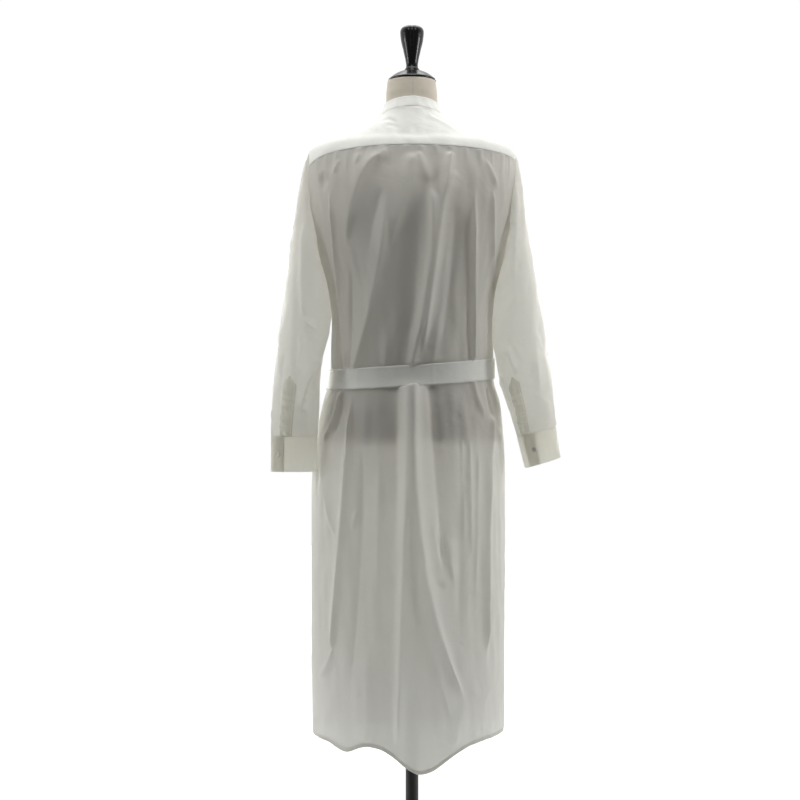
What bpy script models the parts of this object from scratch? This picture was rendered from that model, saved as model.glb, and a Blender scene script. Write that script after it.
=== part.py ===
"""Long-sleeved shirt dress standing on a limbless dress form, in metres, +Z up.

The dress front faces -Y. The origin is on the floor, under the pole. The cloth is a smooth tube of
stacked oval hoops with folds pushed into it; every panel is a patch of that tube, and a patch is
asked for by an angle round the body (0 at the wearer's left side, a quarter turn at the back) and
a height.
"""
import math
from collections import namedtuple

import bmesh
import bpy
from mathutils import Vector

# ---------------------------------------------------------------- driving dimensions
WALL = 0.0015            # cloth wall
SEAM_GAP = 0.0003        # between two pieces that meet
LEAN_GAP = 0.0011        # the same at a bent seam, whose walls lean together inside
STRIP_WALL = 0.0010      # button strip and sleeve opening strips
BELT_WIDTH = 0.037
BELT_WALL = 0.0020
PLACKET_HALF = 0.0148    # half the width of the front button strip
BUTTON_RADIUS = 0.0055
BUTTON_THICK = 0.0022

POLE_RADIUS = 0.0125
TORSO_BOTTOM = 0.770
NECK_TOP = 1.4585
NECK_CENTRE_Y = -0.006

QUARTER = math.pi / 2

# ---------------------------------------------------------------- the tube of the dress
# One row is one hoop: how far the cloth reaches to the left, right, back and front of the axis, the
# height of the hoop at its sides, back and front, the roundness of its corners (2 is an oval), and
# how far inside it the form's own surface lies at the side, back and front.
Hoop = namedtuple(
    "Hoop",
    "name left right back front z_side z_back z_front corner in_side in_back in_front",
)
HOOPS = [
    Hoop("hem", 0.187, 0.174, 0.132, 0.120, 0.150, 0.150, 0.150, 2.1, 0.030, 0.020, 0.020),
    Hoop("shin", 0.190, 0.175, 0.130, 0.120, 0.400, 0.400, 0.400, 2.1, 0.030, 0.020, 0.020),
    Hoop("thigh", 0.190, 0.176, 0.127, 0.118, 0.680, 0.680, 0.680, 2.1, 0.022, 0.010, 0.012),
    Hoop("seat", 0.184, 0.174, 0.124, 0.116, 0.765, 0.765, 0.765, 2.1, 0.018, 0.007, 0.010),
    Hoop("hip", 0.169, 0.167, 0.118, 0.111, 0.845, 0.845, 0.845, 2.1, 0.016, 0.008, 0.010),
    Hoop("waist", 0.1555, 0.1545, 0.106, 0.102, 0.890, 0.890, 0.890, 2.2, 0.030, 0.018, 0.016),
    Hoop("blouse", 0.1535, 0.1540, 0.111, 0.107, 0.935, 0.935, 0.935, 2.2, 0.038, 0.026, 0.020),
    Hoop("rib", 0.1515, 0.1530, 0.116, 0.118, 1.000, 1.000, 1.000, 2.3, 0.026, 0.024, 0.018),
    Hoop("bust", 0.158, 0.1575, 0.119, 0.127, 1.060, 1.060, 1.060, 2.3, 0.020, 0.015, 0.009),
    Hoop("underarm", 0.174, 0.173, 0.121, 0.131, 1.120, 1.120, 1.120, 2.4, 0.022, 0.008, 0.0062),
    Hoop("blade", 0.196, 0.195, 0.122, 0.126, 1.200, 1.200, 1.200, 2.5, 0.016, 0.0045, 0.0062),
    Hoop("chest", 0.202, 0.201, 0.116, 0.112, 1.255, 1.255, 1.255, 2.5, 0.009, 0.0032, 0.0066),
    Hoop("tip", 0.200, 0.199, 0.106, 0.096, 1.300, 1.300, 1.300, 2.3, 0.0100, 0.0030, 0.0068),
    Hoop("shoulder", 0.191, 0.191, 0.096, 0.086, 1.329, 1.329, 1.322, 2.1, 0.0050, 0.0028, 0.0068),
    Hoop("slope", 0.150, 0.150, 0.084, 0.080, 1.3475, 1.345, 1.329, 2.0, 0.0030, 0.0026, 0.0064),
    Hoop("nape", 0.098, 0.096, 0.071, 0.074, 1.3655, 1.368, 1.336, 2.0, 0.0026, 0.0026, 0.0060),
    Hoop("root", 0.073, 0.073, 0.062, 0.070, 1.3770, 1.386, 1.340, 2.0, 0.0026, 0.0026, 0.0058),
    Hoop("neck", 0.0615, 0.0610, 0.0560, 0.0665, 1.390, 1.400, 1.346, 2.0, 0.0024, 0.0024, 0.0052),
    Hoop("collar", 0.0525, 0.0515, 0.0470, 0.0600, 1.413, 1.4205, 1.369, 2.0, 0.0023, 0.0023, 0.0048),
    Hoop("throat", 0.0490, 0.0478, 0.0425, 0.0535, 1.436, 1.438, 1.410, 2.0, 0.0, 0.0, 0.0),
    Hoop("neck_top", 0.0465, 0.0450, 0.0395, 0.0515, NECK_TOP, NECK_TOP, NECK_TOP, 2.0, 0.0, 0.0, 0.0),
]
STATION = {hoop.name: index for index, hoop in enumerate(HOOPS)}


def hoop_at(station):
    """The hoop at a fractional row, by a smooth curve through the rows' values."""
    low = min(max(int(station), 0), len(HOOPS) - 2)
    share = station - low
    rows = [HOOPS[min(max(low + step, 0), len(HOOPS) - 1)] for step in (-1, 0, 1, 2)]
    values = []
    for column in range(1, len(Hoop._fields)):
        before, first, last, after = (row[column] for row in rows)
        slope_first = (last - before) / 2
        slope_last = (after - first) / 2
        limit = 3 * abs(last - first)
        slope_first = max(-limit, min(limit, slope_first))
        slope_last = max(-limit, min(limit, slope_last))
        square = share * share
        cube = square * share
        values.append(
            (2 * cube - 3 * square + 1) * first
            + (cube - 2 * square + share) * slope_first
            + (3 * square - 2 * cube) * last
            + (cube - square) * slope_last
        )
    return Hoop("", *values)


def hoop_point(hoop, angle):
    """A point of a hoop. Angle 0 is the wearer's left side, a quarter turn is the back."""
    across = math.cos(angle)
    deep = math.sin(angle)
    power = 2 / hoop.corner
    reach_x = hoop.left if across > 0 else hoop.right
    reach_y = hoop.back if deep > 0 else hoop.front
    end_z = hoop.z_back if deep > 0 else hoop.z_front
    return Vector((
        math.copysign(reach_x * abs(across) ** power, across),
        math.copysign(reach_y * abs(deep) ** power, deep),
        hoop.z_side + (end_z - hoop.z_side) * deep * deep,
    ))


def tube(angle, station):
    return hoop_point(hoop_at(station), angle)


def tube_normal(angle, station):
    """The outward direction of the smooth tube."""
    step_angle = 0.02
    step_station = 0.05
    round_about = tube(angle + step_angle, station) - tube(angle - step_angle, station)
    top = min(station + step_station, len(HOOPS) - 1)
    upward = tube(angle, top) - tube(angle, max(station - step_station, 0))
    return round_about.cross(upward).normalized()


def station_at(angle, height):
    """The fractional row at which the tube passes a height, at one angle."""
    low = 0.0
    high = float(len(HOOPS) - 1)
    for _ in range(26):
        middle = (low + high) / 2
        if tube(angle, middle).z < height:
            low = middle
        else:
            high = middle
    return (low + high) / 2


def angle_at_x(x, height, at_back):
    """The angle at which the tube passes x, on the back or the front, at a height."""
    low = 0.0
    high = math.pi
    side = 1 if at_back else -1
    for _ in range(26):
        middle = (low + high) / 2
        if tube(side * middle, station_at(side * middle, height)).x > x:
            low = middle
        else:
            high = middle
    return side * (low + high) / 2


def side_angle(offset_y, station, at_left):
    """The angle next to a side seam at which the hoop is offset_y from the seam."""
    hoop = hoop_at(station)
    reach = hoop.back if offset_y > 0 else hoop.front
    angle = math.asin(min(1.0, abs(offset_y) / reach) ** (hoop.corner / 2))
    angle = math.copysign(angle, offset_y)
    return angle if at_left else math.pi - angle


# ---------------------------------------------------------------- folds
# A fold is a soft ridge: where its crest is at its top and its bottom (x and z), how far out it
# stands, its half width, and how far it takes to fade at its top and its bottom end.
Fold = namedtuple("Fold", "x_top z_top x_low z_low rise half fade_top fade_low")
BACK_FOLDS = [
    Fold(0.120, 1.235, 0.136, 0.915, 0.007, 0.020, 0.080, 0.010),
    Fold(0.100, 1.250, 0.126, 1.000, 0.005, 0.016, 0.060, 0.060),
    Fold(0.050, 1.240, 0.088, 0.945, 0.007, 0.022, 0.060, 0.050),
    Fold(-0.022, 1.315, -0.006, 0.915, 0.008, 0.020, 0.040, 0.010),
    Fold(-0.068, 1.310, -0.030, 1.060, 0.006, 0.018, 0.030, 0.080),
    Fold(-0.122, 1.240, -0.112, 0.920, 0.008, 0.018, 0.060, 0.010),
    Fold(-0.150, 1.260, -0.146, 0.980, 0.005, 0.014, 0.060, 0.040),
    Fold(0.000, 0.876, 0.004, 0.170, 0.016, 0.026, 0.020, 0.010),
    Fold(0.128, 0.874, 0.166, 0.760, 0.007, 0.018, 0.010, 0.060),
    Fold(0.122, 0.780, 0.148, 0.330, 0.010, 0.026, 0.080, 0.100),
    Fold(-0.040, 0.560, -0.072, 0.175, 0.012, 0.026, 0.080, 0.010),
    Fold(-0.112, 0.878, -0.120, 0.800, 0.006, 0.016, 0.010, 0.040),
    Fold(-0.148, 0.820, -0.136, 0.300, 0.010, 0.024, 0.060, 0.120),
    Fold(0.070, 0.640, 0.078, 0.175, 0.006, 0.024, 0.100, 0.010),
]
FRONT_FOLDS = [
    Fold(0.096, 1.230, 0.118, 0.915, 0.007, 0.022, 0.080, 0.010),
    Fold(0.052, 1.120, 0.070, 0.915, 0.005, 0.020, 0.080, 0.010),
    Fold(-0.100, 1.225, -0.110, 0.915, 0.007, 0.022, 0.080, 0.010),
    Fold(-0.058, 1.080, -0.066, 0.915, 0.006, 0.018, 0.060, 0.010),
    Fold(0.060, 0.876, 0.074, 0.185, 0.012, 0.028, 0.030, 0.010),
    Fold(0.132, 0.872, 0.142, 0.185, 0.009, 0.026, 0.030, 0.010),
    Fold(-0.066, 0.880, -0.084, 0.185, 0.011, 0.028, 0.030, 0.010),
    Fold(-0.136, 0.884, -0.138, 0.185, 0.009, 0.024, 0.030, 0.010),
]
GATHER_RISE = 0.0016     # height of the small puckers along the yoke seam
GATHER_DROP = 0.055      # how far below the seam they fade out
MEAN_RADIUS = 0.150      # turns an angle between two folds into a distance
BELT_SPREAD = 0.030      # how far above and below the belt the folds open out again


def ease(share):
    share = max(0.0, min(1.0, share))
    return share * share * (3 - 2 * share)


def crest_table(folds, at_back):
    """Each fold's crest angle at its two ends, worked out once."""
    table = []
    for fold in folds:
        top = angle_at_x(fold.x_top, fold.z_top, at_back)
        low = angle_at_x(fold.x_low, fold.z_low, at_back)
        table.append((fold, top, low))
    return table


BACK_CRESTS = crest_table(BACK_FOLDS, True)
FRONT_CRESTS = crest_table(FRONT_FOLDS, False)


def belt_middle(angle):
    """Height of the belt's middle line: it rides up towards the wearer's right side."""
    return 0.9030 - 0.0105 * math.cos(angle) - 0.0045 * math.sin(angle)


def fold_rise(angle, height, crests):
    """How far the folds push the cloth out at an angle and a height. The belt presses them flat."""
    free = ease((abs(height - belt_middle(angle)) - BELT_WIDTH / 2 - 0.001) / BELT_SPREAD)
    total = 0.0
    for fold, top, low in crests:
        share = (fold.z_top - height) / (fold.z_top - fold.z_low)
        above = height - fold.z_top
        below = fold.z_low - height
        strength = 1 - ease(max(above / fold.fade_top, below / fold.fade_low) + 0.5)
        crest = top + (low - top) * max(-0.2, min(1.2, share))
        distance = (angle - crest) * MEAN_RADIUS / fold.half
        total += fold.rise * strength * math.exp(-distance * distance)
    return total * free


# ---------------------------------------------------------------- seams and edges
YOKE_BACK = 1.320        # the yoke seam at the middle of the back
YOKE_END = {"left": 1.284, "right": 1.303}
YOKE_FRONT_TURN = {"left": math.radians(-42), "right": math.radians(-42)}
ARM_BOTTOM = 1.120
ARM_TOP = 1.3285
ARM_HALF_WIDTH = 0.054
SIDES = ("left", "right")


def yoke_seam(angle):
    """Height of the back yoke seam: it droops to the armholes, more on the left."""
    share = math.cos(angle)
    if share > 0:
        return YOKE_BACK - 0.0190 * share ** 2 - 0.0220 * share ** 10
    return YOKE_BACK - 0.0135 * share ** 2 - 0.0050 * share ** 10


def armhole(turn, side, inset=0.0):
    """A point of the armhole as (angle, height). Turn 0 is the shoulder tip, a quarter is behind."""
    height = ARM_BOTTOM + (ARM_TOP - ARM_BOTTOM) * (1 + math.cos(turn)) / 2
    height -= inset * math.cos(turn)
    deep = math.sin(turn)
    offset_y = math.copysign((ARM_HALF_WIDTH - inset) * abs(deep) ** 0.92, deep)
    at_left = side == "left"
    angle = 0.0 if at_left else math.pi
    for _ in range(8):
        angle = side_angle(offset_y, station_at(angle, height), at_left)
    return angle, height


def turn_at_height(height):
    """The armhole turn, behind, at which its edge passes a height."""
    return math.acos(2 * (height - ARM_BOTTOM) / (ARM_TOP - ARM_BOTTOM) - 1)


def back_yoke_turn(side):
    """The armhole turn at which the back yoke seam reaches the armhole."""
    turn = turn_at_height(YOKE_END[side])
    for _ in range(12):
        turn = turn_at_height(yoke_seam(armhole(turn, side)[0]))
    return turn


BACK_TURN = {side: back_yoke_turn(side) for side in SIDES}
BACK_CORNER = {side: armhole(BACK_TURN[side], side)[0] for side in SIDES}
FRONT_CORNER = {side: armhole(YOKE_FRONT_TURN[side], side)[0] for side in SIDES}
FRONT_CORNER["right"] -= 2 * math.pi if FRONT_CORNER["right"] > math.pi * 1.5 else 0.0


def hem(angle):
    """Height of the hem: a shirt tail with a narrow tongue at the back and a sag beside it."""
    share = math.cos(angle)
    sides = 0.2305 - 0.003 * share
    if math.sin(angle) <= 0:
        return sides - 0.020 * (1 - share * share)
    from_tongue = share + 0.08
    tongue = math.exp(-(from_tongue / (0.25 if from_tongue > 0 else 0.355)) ** 2)
    sag = math.exp(-((share - 0.63) / 0.13) ** 2)
    return sides - 0.050 * tongue - 0.014 * sag


# ---------------------------------------------------------------- mesh tools
collection = bpy.data.collections.new("ShirtDress")


def clear_scene():
    for thing in list(bpy.data.objects):
        bpy.data.objects.remove(thing, do_unlink=True)
    bpy.context.scene.collection.children.link(collection)


def make_material(name, colour, roughness, metallic=0.0):
    material = bpy.data.materials.new(name)
    material.use_nodes = True
    shader = material.node_tree.nodes["Principled BSDF"]
    shader.inputs["Base Color"].default_value = (*colour, 1.0)
    shader.inputs["Roughness"].default_value = roughness
    shader.inputs["Metallic"].default_value = metallic
    return material


def add_object(name, mesh, material, sharp_degrees=40):
    mesh.shade_smooth()
    mesh.set_sharp_from_angle(angle=math.radians(sharp_degrees))
    mesh.materials.append(material)
    thing = bpy.data.objects.new(name, mesh)
    collection.objects.link(thing)
    return thing


def grid_mesh(name, rows, closed=False, caps=False):
    """A mesh of quads through rows of points, closed round if asked, with flat ends if asked."""
    bm = bmesh.new()
    lines = [[bm.verts.new(point) for point in row] for row in rows]
    count = len(rows[0])
    columns = count if closed else count - 1
    for lower, upper in zip(lines, lines[1:]):
        for column in range(columns):
            after = (column + 1) % count
            bm.faces.new((lower[column], lower[after], upper[after], upper[column]))
    if caps:
        bm.faces.new(list(reversed(lines[0])))
        bm.faces.new(lines[-1])
    mesh = bpy.data.meshes.new(name)
    bm.to_mesh(mesh)
    bm.free()
    return mesh


def cloth(name, rows, material, wall=WALL, closed=False):
    """An open sheet through rows of points, given its wall inwards."""
    thing = add_object(name, grid_mesh(name, rows, closed), material)
    solidify = thing.modifiers.new("wall", "SOLIDIFY")
    solidify.thickness = wall
    solidify.offset = -1.0
    return thing


# ---------------------------------------------------------------- the dress panels
BACK_COLUMNS = 46
SKIRT_ROWS = 8
BLOUSE_ROWS = 5
ARM_ROWS = 6
FRONT_COLUMNS = 11
SEAM_STRIP = 0.006       # a short last row at the yoke seam, so that both walls end square
SHOULDER_SHARES = (0.10, 0.28, 0.55, 0.78, 1.0)


def back_point(angle, height, gather=0.0, share=1.0):
    station = station_at(angle, height)
    free = ease((yoke_seam(angle) - height) / 0.030)
    out = fold_rise(angle, height, BACK_CRESTS) * free * share
    return tube(angle, station) + tube_normal(angle, station) * (out + gather)


def front_point(angle, height):
    """Angle runs from minus a half turn (right side) to 0 (left side)."""
    station = station_at(angle, height)
    free = ease((abs(math.remainder(angle + QUARTER, 2 * math.pi)) * MEAN_RADIUS - 0.022) / 0.020)
    out = fold_rise(angle, height, FRONT_CRESTS) * free
    return tube(angle, station) + tube_normal(angle, station) * out


def lower_levels(angle, top):
    """Heights of the rows from the hem to the underarm, with rows on both edges of the belt."""
    low = hem(angle)
    belt_low = belt_middle(angle) - BELT_WIDTH / 2
    belt_high = belt_middle(angle) + BELT_WIDTH / 2
    levels = []
    for row in range(SKIRT_ROWS):
        share = row / SKIRT_ROWS
        levels.append(low + (belt_low - low) * share ** 0.9)
    levels.append(belt_low)
    levels.append(belt_high)
    for row in range(1, BLOUSE_ROWS):
        levels.append(belt_high + (top - belt_high) * row / BLOUSE_ROWS)
    return levels


def blend(first, last, share):
    return first + (last - first) * share


def back_rows():
    """Rows of the back, from the hem up to the yoke seam."""
    rows = []
    shares = [column / BACK_COLUMNS for column in range(BACK_COLUMNS + 1)]
    edge = side_angle(LEAN_GAP / 2, STATION["rib"], True)
    angles = [blend(edge, math.pi - edge, share) for share in shares]
    columns = [lower_levels(angle, ARM_BOTTOM) for angle in angles]
    for row in range(len(columns[0])):
        rows.append([back_point(angle, column[row]) for angle, column in zip(angles, columns)])
    steps = [row / ARM_ROWS for row in range(ARM_ROWS)] + [None, 1.0]
    for progress in steps:
        near_seam = progress is None
        progress = 1.0 if near_seam else progress
        drop = SEAM_STRIP if near_seam else 0.0
        ends = []
        for side in SIDES:
            turn = blend(math.pi, BACK_TURN[side], progress)
            if near_seam:
                turn = turn_at_height(armhole(turn, side)[1] - SEAM_STRIP)
            ends.append(armhole(turn, side))
        (left_angle, left_height), (right_angle, right_height) = ends
        if progress == 0.0:
            left_angle = edge
            right_angle = math.pi - edge
        line = []
        for column, share in enumerate(shares):
            angle = blend(left_angle, right_angle, share)
            seam = yoke_seam(angle)
            level = blend(left_height, right_height, share)
            seam_ends = blend(yoke_seam(left_angle), yoke_seam(right_angle), share)
            height = level + (seam - seam_ends) * progress ** 2
            gather = 0.0
            inside = ease(min(column, BACK_COLUMNS - column) / 5)
            if progress == 1.0:
                height = seam - SEAM_GAP / 2 - drop
            if progress < 1.0 or near_seam:
                near = max(0.0, 1 - (seam - height) / GATHER_DROP)
                gather = (column % 2) * GATHER_RISE * near * inside
            line.append(back_point(angle, height, gather, inside if progress else 1.0))
        rows.append(line)
    return rows


def front_rows(side):
    """Rows of one front, from the hem up to the neck and the yoke; column 0 is the front edge."""
    at_left = side == "left"
    rows = []
    edge_angle = -side_angle(LEAN_GAP / 2, STATION["rib"], True)
    shares = [0.0] + [0.085 + 0.915 * column / (FRONT_COLUMNS - 1) for column in range(FRONT_COLUMNS)]

    def own_side(angle):
        """An armhole's angle as it is counted on this front: 0 at the side seam, below 0 in front."""
        angle = angle if at_left else math.pi - angle
        return angle if angle < 1 else angle - 2 * math.pi

    def place(pairs):
        """The row's points, from pairs of an angle counted on this side and a height."""
        points = []
        for angle, height in pairs:
            true_angle = angle if at_left else -math.pi - angle
            point = front_point(true_angle, height)
            station = station_at(true_angle, height)
            if at_left:
                under = 1 - ease((point.x - 0.018) / 0.030)
                point -= tube_normal(true_angle, station) * (WALL + SEAM_GAP) * under
            points.append(point)
        return points if at_left else list(reversed(points))

    def front_edge(height):
        """The angle of the front edge, counted on this side from the side seam at 0."""
        x = -PLACKET_HALF + 0.002
        if at_left:
            return angle_at_x(x, height, False)
        return -math.pi - angle_at_x(-x, height, False)

    def mirrored(angle):
        return angle if at_left else -math.pi - angle

    guide = [blend(-QUARTER, edge_angle, share) for share in shares]
    columns = [lower_levels(mirrored(angle), ARM_BOTTOM) for angle in guide]
    for row in range(len(columns[0])):
        start = front_edge(columns[0][row])
        rows.append(place([
            (blend(start, edge_angle, share), column[row]) for share, column in zip(shares, columns)
        ]))
    last_turn = YOKE_FRONT_TURN[side]
    corner_height = armhole(last_turn, side)[1]
    centre_height = corner_height - 0.016
    for row in range(ARM_ROWS + 1):
        progress = row / ARM_ROWS
        arm_angle, arm_height = armhole(blend(-math.pi, last_turn, progress), side)
        arm_angle = own_side(arm_angle) if row else edge_angle
        centre = blend(ARM_BOTTOM, centre_height, progress)
        start = front_edge(centre)
        rows.append(place([
            (blend(start, arm_angle, share), blend(centre, arm_height, share ** 1.5)) for share in shares
        ]))
    corner_angle = own_side(armhole(last_turn, side)[0])
    low_start = front_edge(centre_height)
    top_start = front_edge(HOOPS[STATION["neck"]].z_front)
    for progress in SHOULDER_SHARES:
        line = []
        for share in shares:
            low_angle = blend(low_start, corner_angle, share)
            high_angle = blend(top_start, corner_angle, share)
            angle = blend(low_angle, high_angle, progress)
            low_height = blend(centre_height, corner_height, share ** 1.5)
            low = station_at(mirrored(low_angle), low_height)
            station = blend(low, STATION["neck"], progress)
            line.append((angle, tube(mirrored(angle), station).z))
        rows.append(place(line))
    return rows


def yoke_rows():
    """Rows of the yoke from its outer edge (seams and armholes) up to the neck."""
    outer = []
    for step in range(SHOULDER_STEPS):
        turn = blend(YOKE_FRONT_TURN["left"], BACK_TURN["left"], step / SHOULDER_STEPS)
        outer.append(armhole(turn, "left"))
    dense = 4
    for column in range(BACK_COLUMNS + 1):
        if dense < column < BACK_COLUMNS - dense and column % 2:
            continue
        angle = blend(BACK_CORNER["left"], BACK_CORNER["right"], column / BACK_COLUMNS)
        outer.append((angle, yoke_seam(angle) + SEAM_GAP / 2))
    for step in range(1, SHOULDER_STEPS + 1):
        turn = blend(BACK_TURN["right"], YOKE_FRONT_TURN["right"], step / SHOULDER_STEPS)
        outer.append(armhole(turn, "right"))
    last = len(outer) - 1
    rows = []
    for level in (None, 0.0, 0.55, 1.0, 2.0, 3.0, 4.0):
        line = []
        for column, (angle, height) in enumerate(outer):
            low = station_at(angle, height)
            station = low if level is None else blend(low + 0.16, STATION["neck"], level / 4)
            if column in (0, last):
                reach = (tube(angle + 0.01, station) - tube(angle, station)).length / 0.01
                angle += (LEAN_GAP if column == 0 else -LEAN_GAP) / reach
            line.append(tube(angle, station))
        rows.append(line)
    return rows


# ---------------------------------------------------------------- collar, strip, belt
def collar_rows():
    """The standing band. Its right end lies over its left end at the front."""
    columns = 32
    rows = []
    for row in range(3):
        station = STATION["neck"] + 0.02 + 0.96 * row / 2
        height = 1.36
        start = angle_at_x(-PLACKET_HALF + 0.002, height, False)
        end = 2 * math.pi + angle_at_x(PLACKET_HALF - 0.002, height, False)
        line = []
        for column in range(columns + 1):
            angle = blend(start, end, column / columns)
            point = tube(angle, station)
            under = 1 - ease((column / columns - 0.05) / 0.08)
            point -= tube_normal(angle, station) * (WALL + SEAM_GAP) * under
            line.append(point)
        rows.append(line)
    return rows


def placket_levels():
    """Heights of the rows of the front strip: those of the front's own edge."""
    levels = lower_levels(-QUARTER, ARM_BOTTOM)
    centre_height = armhole(YOKE_FRONT_TURN["right"], "right")[1] - 0.016
    for row in range(ARM_ROWS + 1):
        levels.append(blend(ARM_BOTTOM, centre_height, row / ARM_ROWS))
    low = station_at(-QUARTER, centre_height)
    for progress in SHOULDER_SHARES:
        levels.append(tube(-QUARTER, blend(low, STATION["neck"], progress)).z)
    return levels


def placket_rows():
    """Rows of the front strip. Its last row stops short of the collar, on the same facet."""
    rows = []
    for height in placket_levels():
        line = []
        for x in (-PLACKET_HALF, 0.0, PLACKET_HALF):
            angle = angle_at_x(x, height, False)
            station = station_at(angle, height)
            line.append(tube(angle, station) + tube_normal(angle, station) * (SEAM_GAP + STRIP_WALL))
        rows.append(line)
    rows[-1] = [low.lerp(high, 0.5) for low, high in zip(rows[-2], rows[-1])]
    return rows


BELT_COLUMNS = 56
BELT_EASE = 0.0010       # air between the belt and the cloth below it


def belt_point(angle, lift):
    """A point of the belt's outer face, lift above its middle line."""
    middle = belt_middle(angle)
    over_strip = ease((-math.sin(angle) - 0.90) / 0.06) * (SEAM_GAP + STRIP_WALL)
    point = tube(angle, station_at(angle, middle + lift))
    outward = tube_normal(angle, station_at(angle, middle))
    outward.z = 0.0
    return point + outward.normalized() * (BELT_WALL + BELT_EASE + over_strip)


def belt_rows():
    """The belt's band, drawn round the dress over the front strip."""
    angles = [2 * math.pi * column / BELT_COLUMNS for column in range(BELT_COLUMNS)]
    return [[belt_point(angle, lift) for angle in angles] for lift in (-BELT_WIDTH / 2, BELT_WIDTH / 2)]


# ---------------------------------------------------------------- sleeves
# One row is one ring of a sleeve: the point on its outer and inner line, its half depth front to
# back, and the y of its middle. The first ring is the armhole itself.
Ring = namedtuple("Ring", "outer_x outer_z inner_x inner_z half_depth mid_y")
SLEEVE_RINGS = {
    "left": [
        Ring(0.2040, 1.300, 0.1720, 1.098, 0.0590, 0.000),
        Ring(0.2110, 1.265, 0.1655, 1.078, 0.0590, 0.004),
        Ring(0.2185, 1.220, 0.1595, 1.055, 0.0570, 0.009),
        Ring(0.2250, 1.170, 0.1563, 1.032, 0.0545, 0.014),
        Ring(0.2310, 1.120, 0.1538, 1.008, 0.0520, 0.020),
        Ring(0.2370, 1.070, 0.1540, 0.983, 0.0490, 0.025),
        Ring(0.2430, 1.020, 0.1610, 0.957, 0.0465, 0.029),
        Ring(0.2490, 0.972, 0.1685, 0.930, 0.0440, 0.033),
        Ring(0.2545, 0.926, 0.1715, 0.900, 0.0415, 0.038),
        Ring(0.2580, 0.884, 0.1730, 0.868, 0.0390, 0.043),
        Ring(0.2602, 0.845, 0.1742, 0.836, 0.0355, 0.048),
        Ring(0.2612, 0.812, 0.1752, 0.808, 0.0315, 0.053),
        Ring(0.2608, 0.7865, 0.1760, 0.7865, 0.0270, 0.056),
    ],
    "right": [
        Ring(0.2020, 1.302, 0.1730, 1.098, 0.0590, 0.000),
        Ring(0.2070, 1.265, 0.1665, 1.078, 0.0590, 0.003),
        Ring(0.2120, 1.222, 0.1605, 1.055, 0.0570, 0.007),
        Ring(0.2180, 1.174, 0.1570, 1.030, 0.0540, 0.012),
        Ring(0.2255, 1.125, 0.1550, 1.005, 0.0510, 0.017),
        Ring(0.2330, 1.078, 0.1548, 0.980, 0.0480, 0.021),
        Ring(0.2400, 1.033, 0.1560, 0.952, 0.0450, 0.024),
        Ring(0.2465, 0.990, 0.1592, 0.922, 0.0425, 0.026),
        Ring(0.2530, 0.946, 0.1655, 0.890, 0.0400, 0.028),
        Ring(0.2590, 0.902, 0.1750, 0.858, 0.0375, 0.029),
        Ring(0.2640, 0.862, 0.1850, 0.828, 0.0345, 0.030),
        Ring(0.2670, 0.829, 0.1915, 0.802, 0.0305, 0.032),
        Ring(0.2683, 0.8055, 0.1975, 0.7835, 0.0265, 0.034),
    ],
}
CUFF_END = {
    "left": Ring(0.2615, 0.7225, 0.1765, 0.7225, 0.0265, 0.058),
    "right": Ring(0.2775, 0.7480, 0.2120, 0.7275, 0.0250, 0.037),
}
SLEEVE_CORNER = 2.2
SHOULDER_STEPS = 7


def ring_point(ring, side, turn):
    """A point of a sleeve ring. Turn 0 is its outer line, a quarter turn is behind."""
    sign = 1 if side == "left" else -1
    power = 2 / SLEEVE_CORNER
    along = math.copysign(abs(math.cos(turn)) ** power, math.cos(turn))
    deep = math.copysign(abs(math.sin(turn)) ** power, math.sin(turn))
    mid_x = (ring.outer_x + ring.inner_x) / 2
    mid_z = (ring.outer_z + ring.inner_z) / 2
    return Vector((
        sign * (mid_x + along * (ring.outer_x - ring.inner_x) / 2),
        ring.mid_y + deep * ring.half_depth,
        mid_z + along * (ring.outer_z - ring.inner_z) / 2,
    ))


def sleeve_turns(side):
    """Turns round a sleeve that land on the points of the panels' armhole edges."""
    behind, before = BACK_TURN[side], YOKE_FRONT_TURN[side]
    turns = [blend(before, behind, step / SHOULDER_STEPS) for step in range(SHOULDER_STEPS)]
    turns += [blend(behind, math.pi, row / ARM_ROWS) for row in range(ARM_ROWS)]
    turns += [blend(math.pi, 2 * math.pi + before, row / ARM_ROWS) for row in range(ARM_ROWS)]
    return turns


def sleeve_surface(side, turn, row):
    """A point of a sleeve at a fractional ring; ring -1 is the armhole, the last is the cuff's top."""
    rings = SLEEVE_RINGS[side]

    def control(index):
        if index < 0:
            bend = max(0.0, math.cos(turn)) * (LEAN_GAP + SEAM_GAP)
            near_turn = turn if turn < math.pi else turn - 2 * math.pi
            angle, height = armhole(near_turn, side, SEAM_GAP + bend)
            return tube(angle, station_at(angle, height))
        return ring_point(rings[min(index, len(rings) - 1)], side, turn)

    low = min(math.floor(row), len(rings) - 2)
    share = row - low
    before, first, last, after = (control(max(low + step, -1)) for step in (-1, 0, 1, 2))
    square = share * share
    cube = square * share
    slope_first = (last - before) / 2
    slope_last = (after - first) / 2
    return (
        first * (2 * cube - 3 * square + 1)
        + slope_first * (cube - 2 * square + share)
        + last * (3 * square - 2 * cube)
        + slope_last * (cube - square)
    )


def sleeve_rows(side):
    """Rings of a sleeve from the cuff's top up to the armhole."""
    turns = sleeve_turns(side)
    levels = range(len(SLEEVE_RINGS[side]) - 1, -2, -1)
    rows = [[sleeve_surface(side, turn, level) for turn in turns] for level in levels]
    return rows if side == "left" else [list(reversed(row)) for row in rows]


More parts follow.
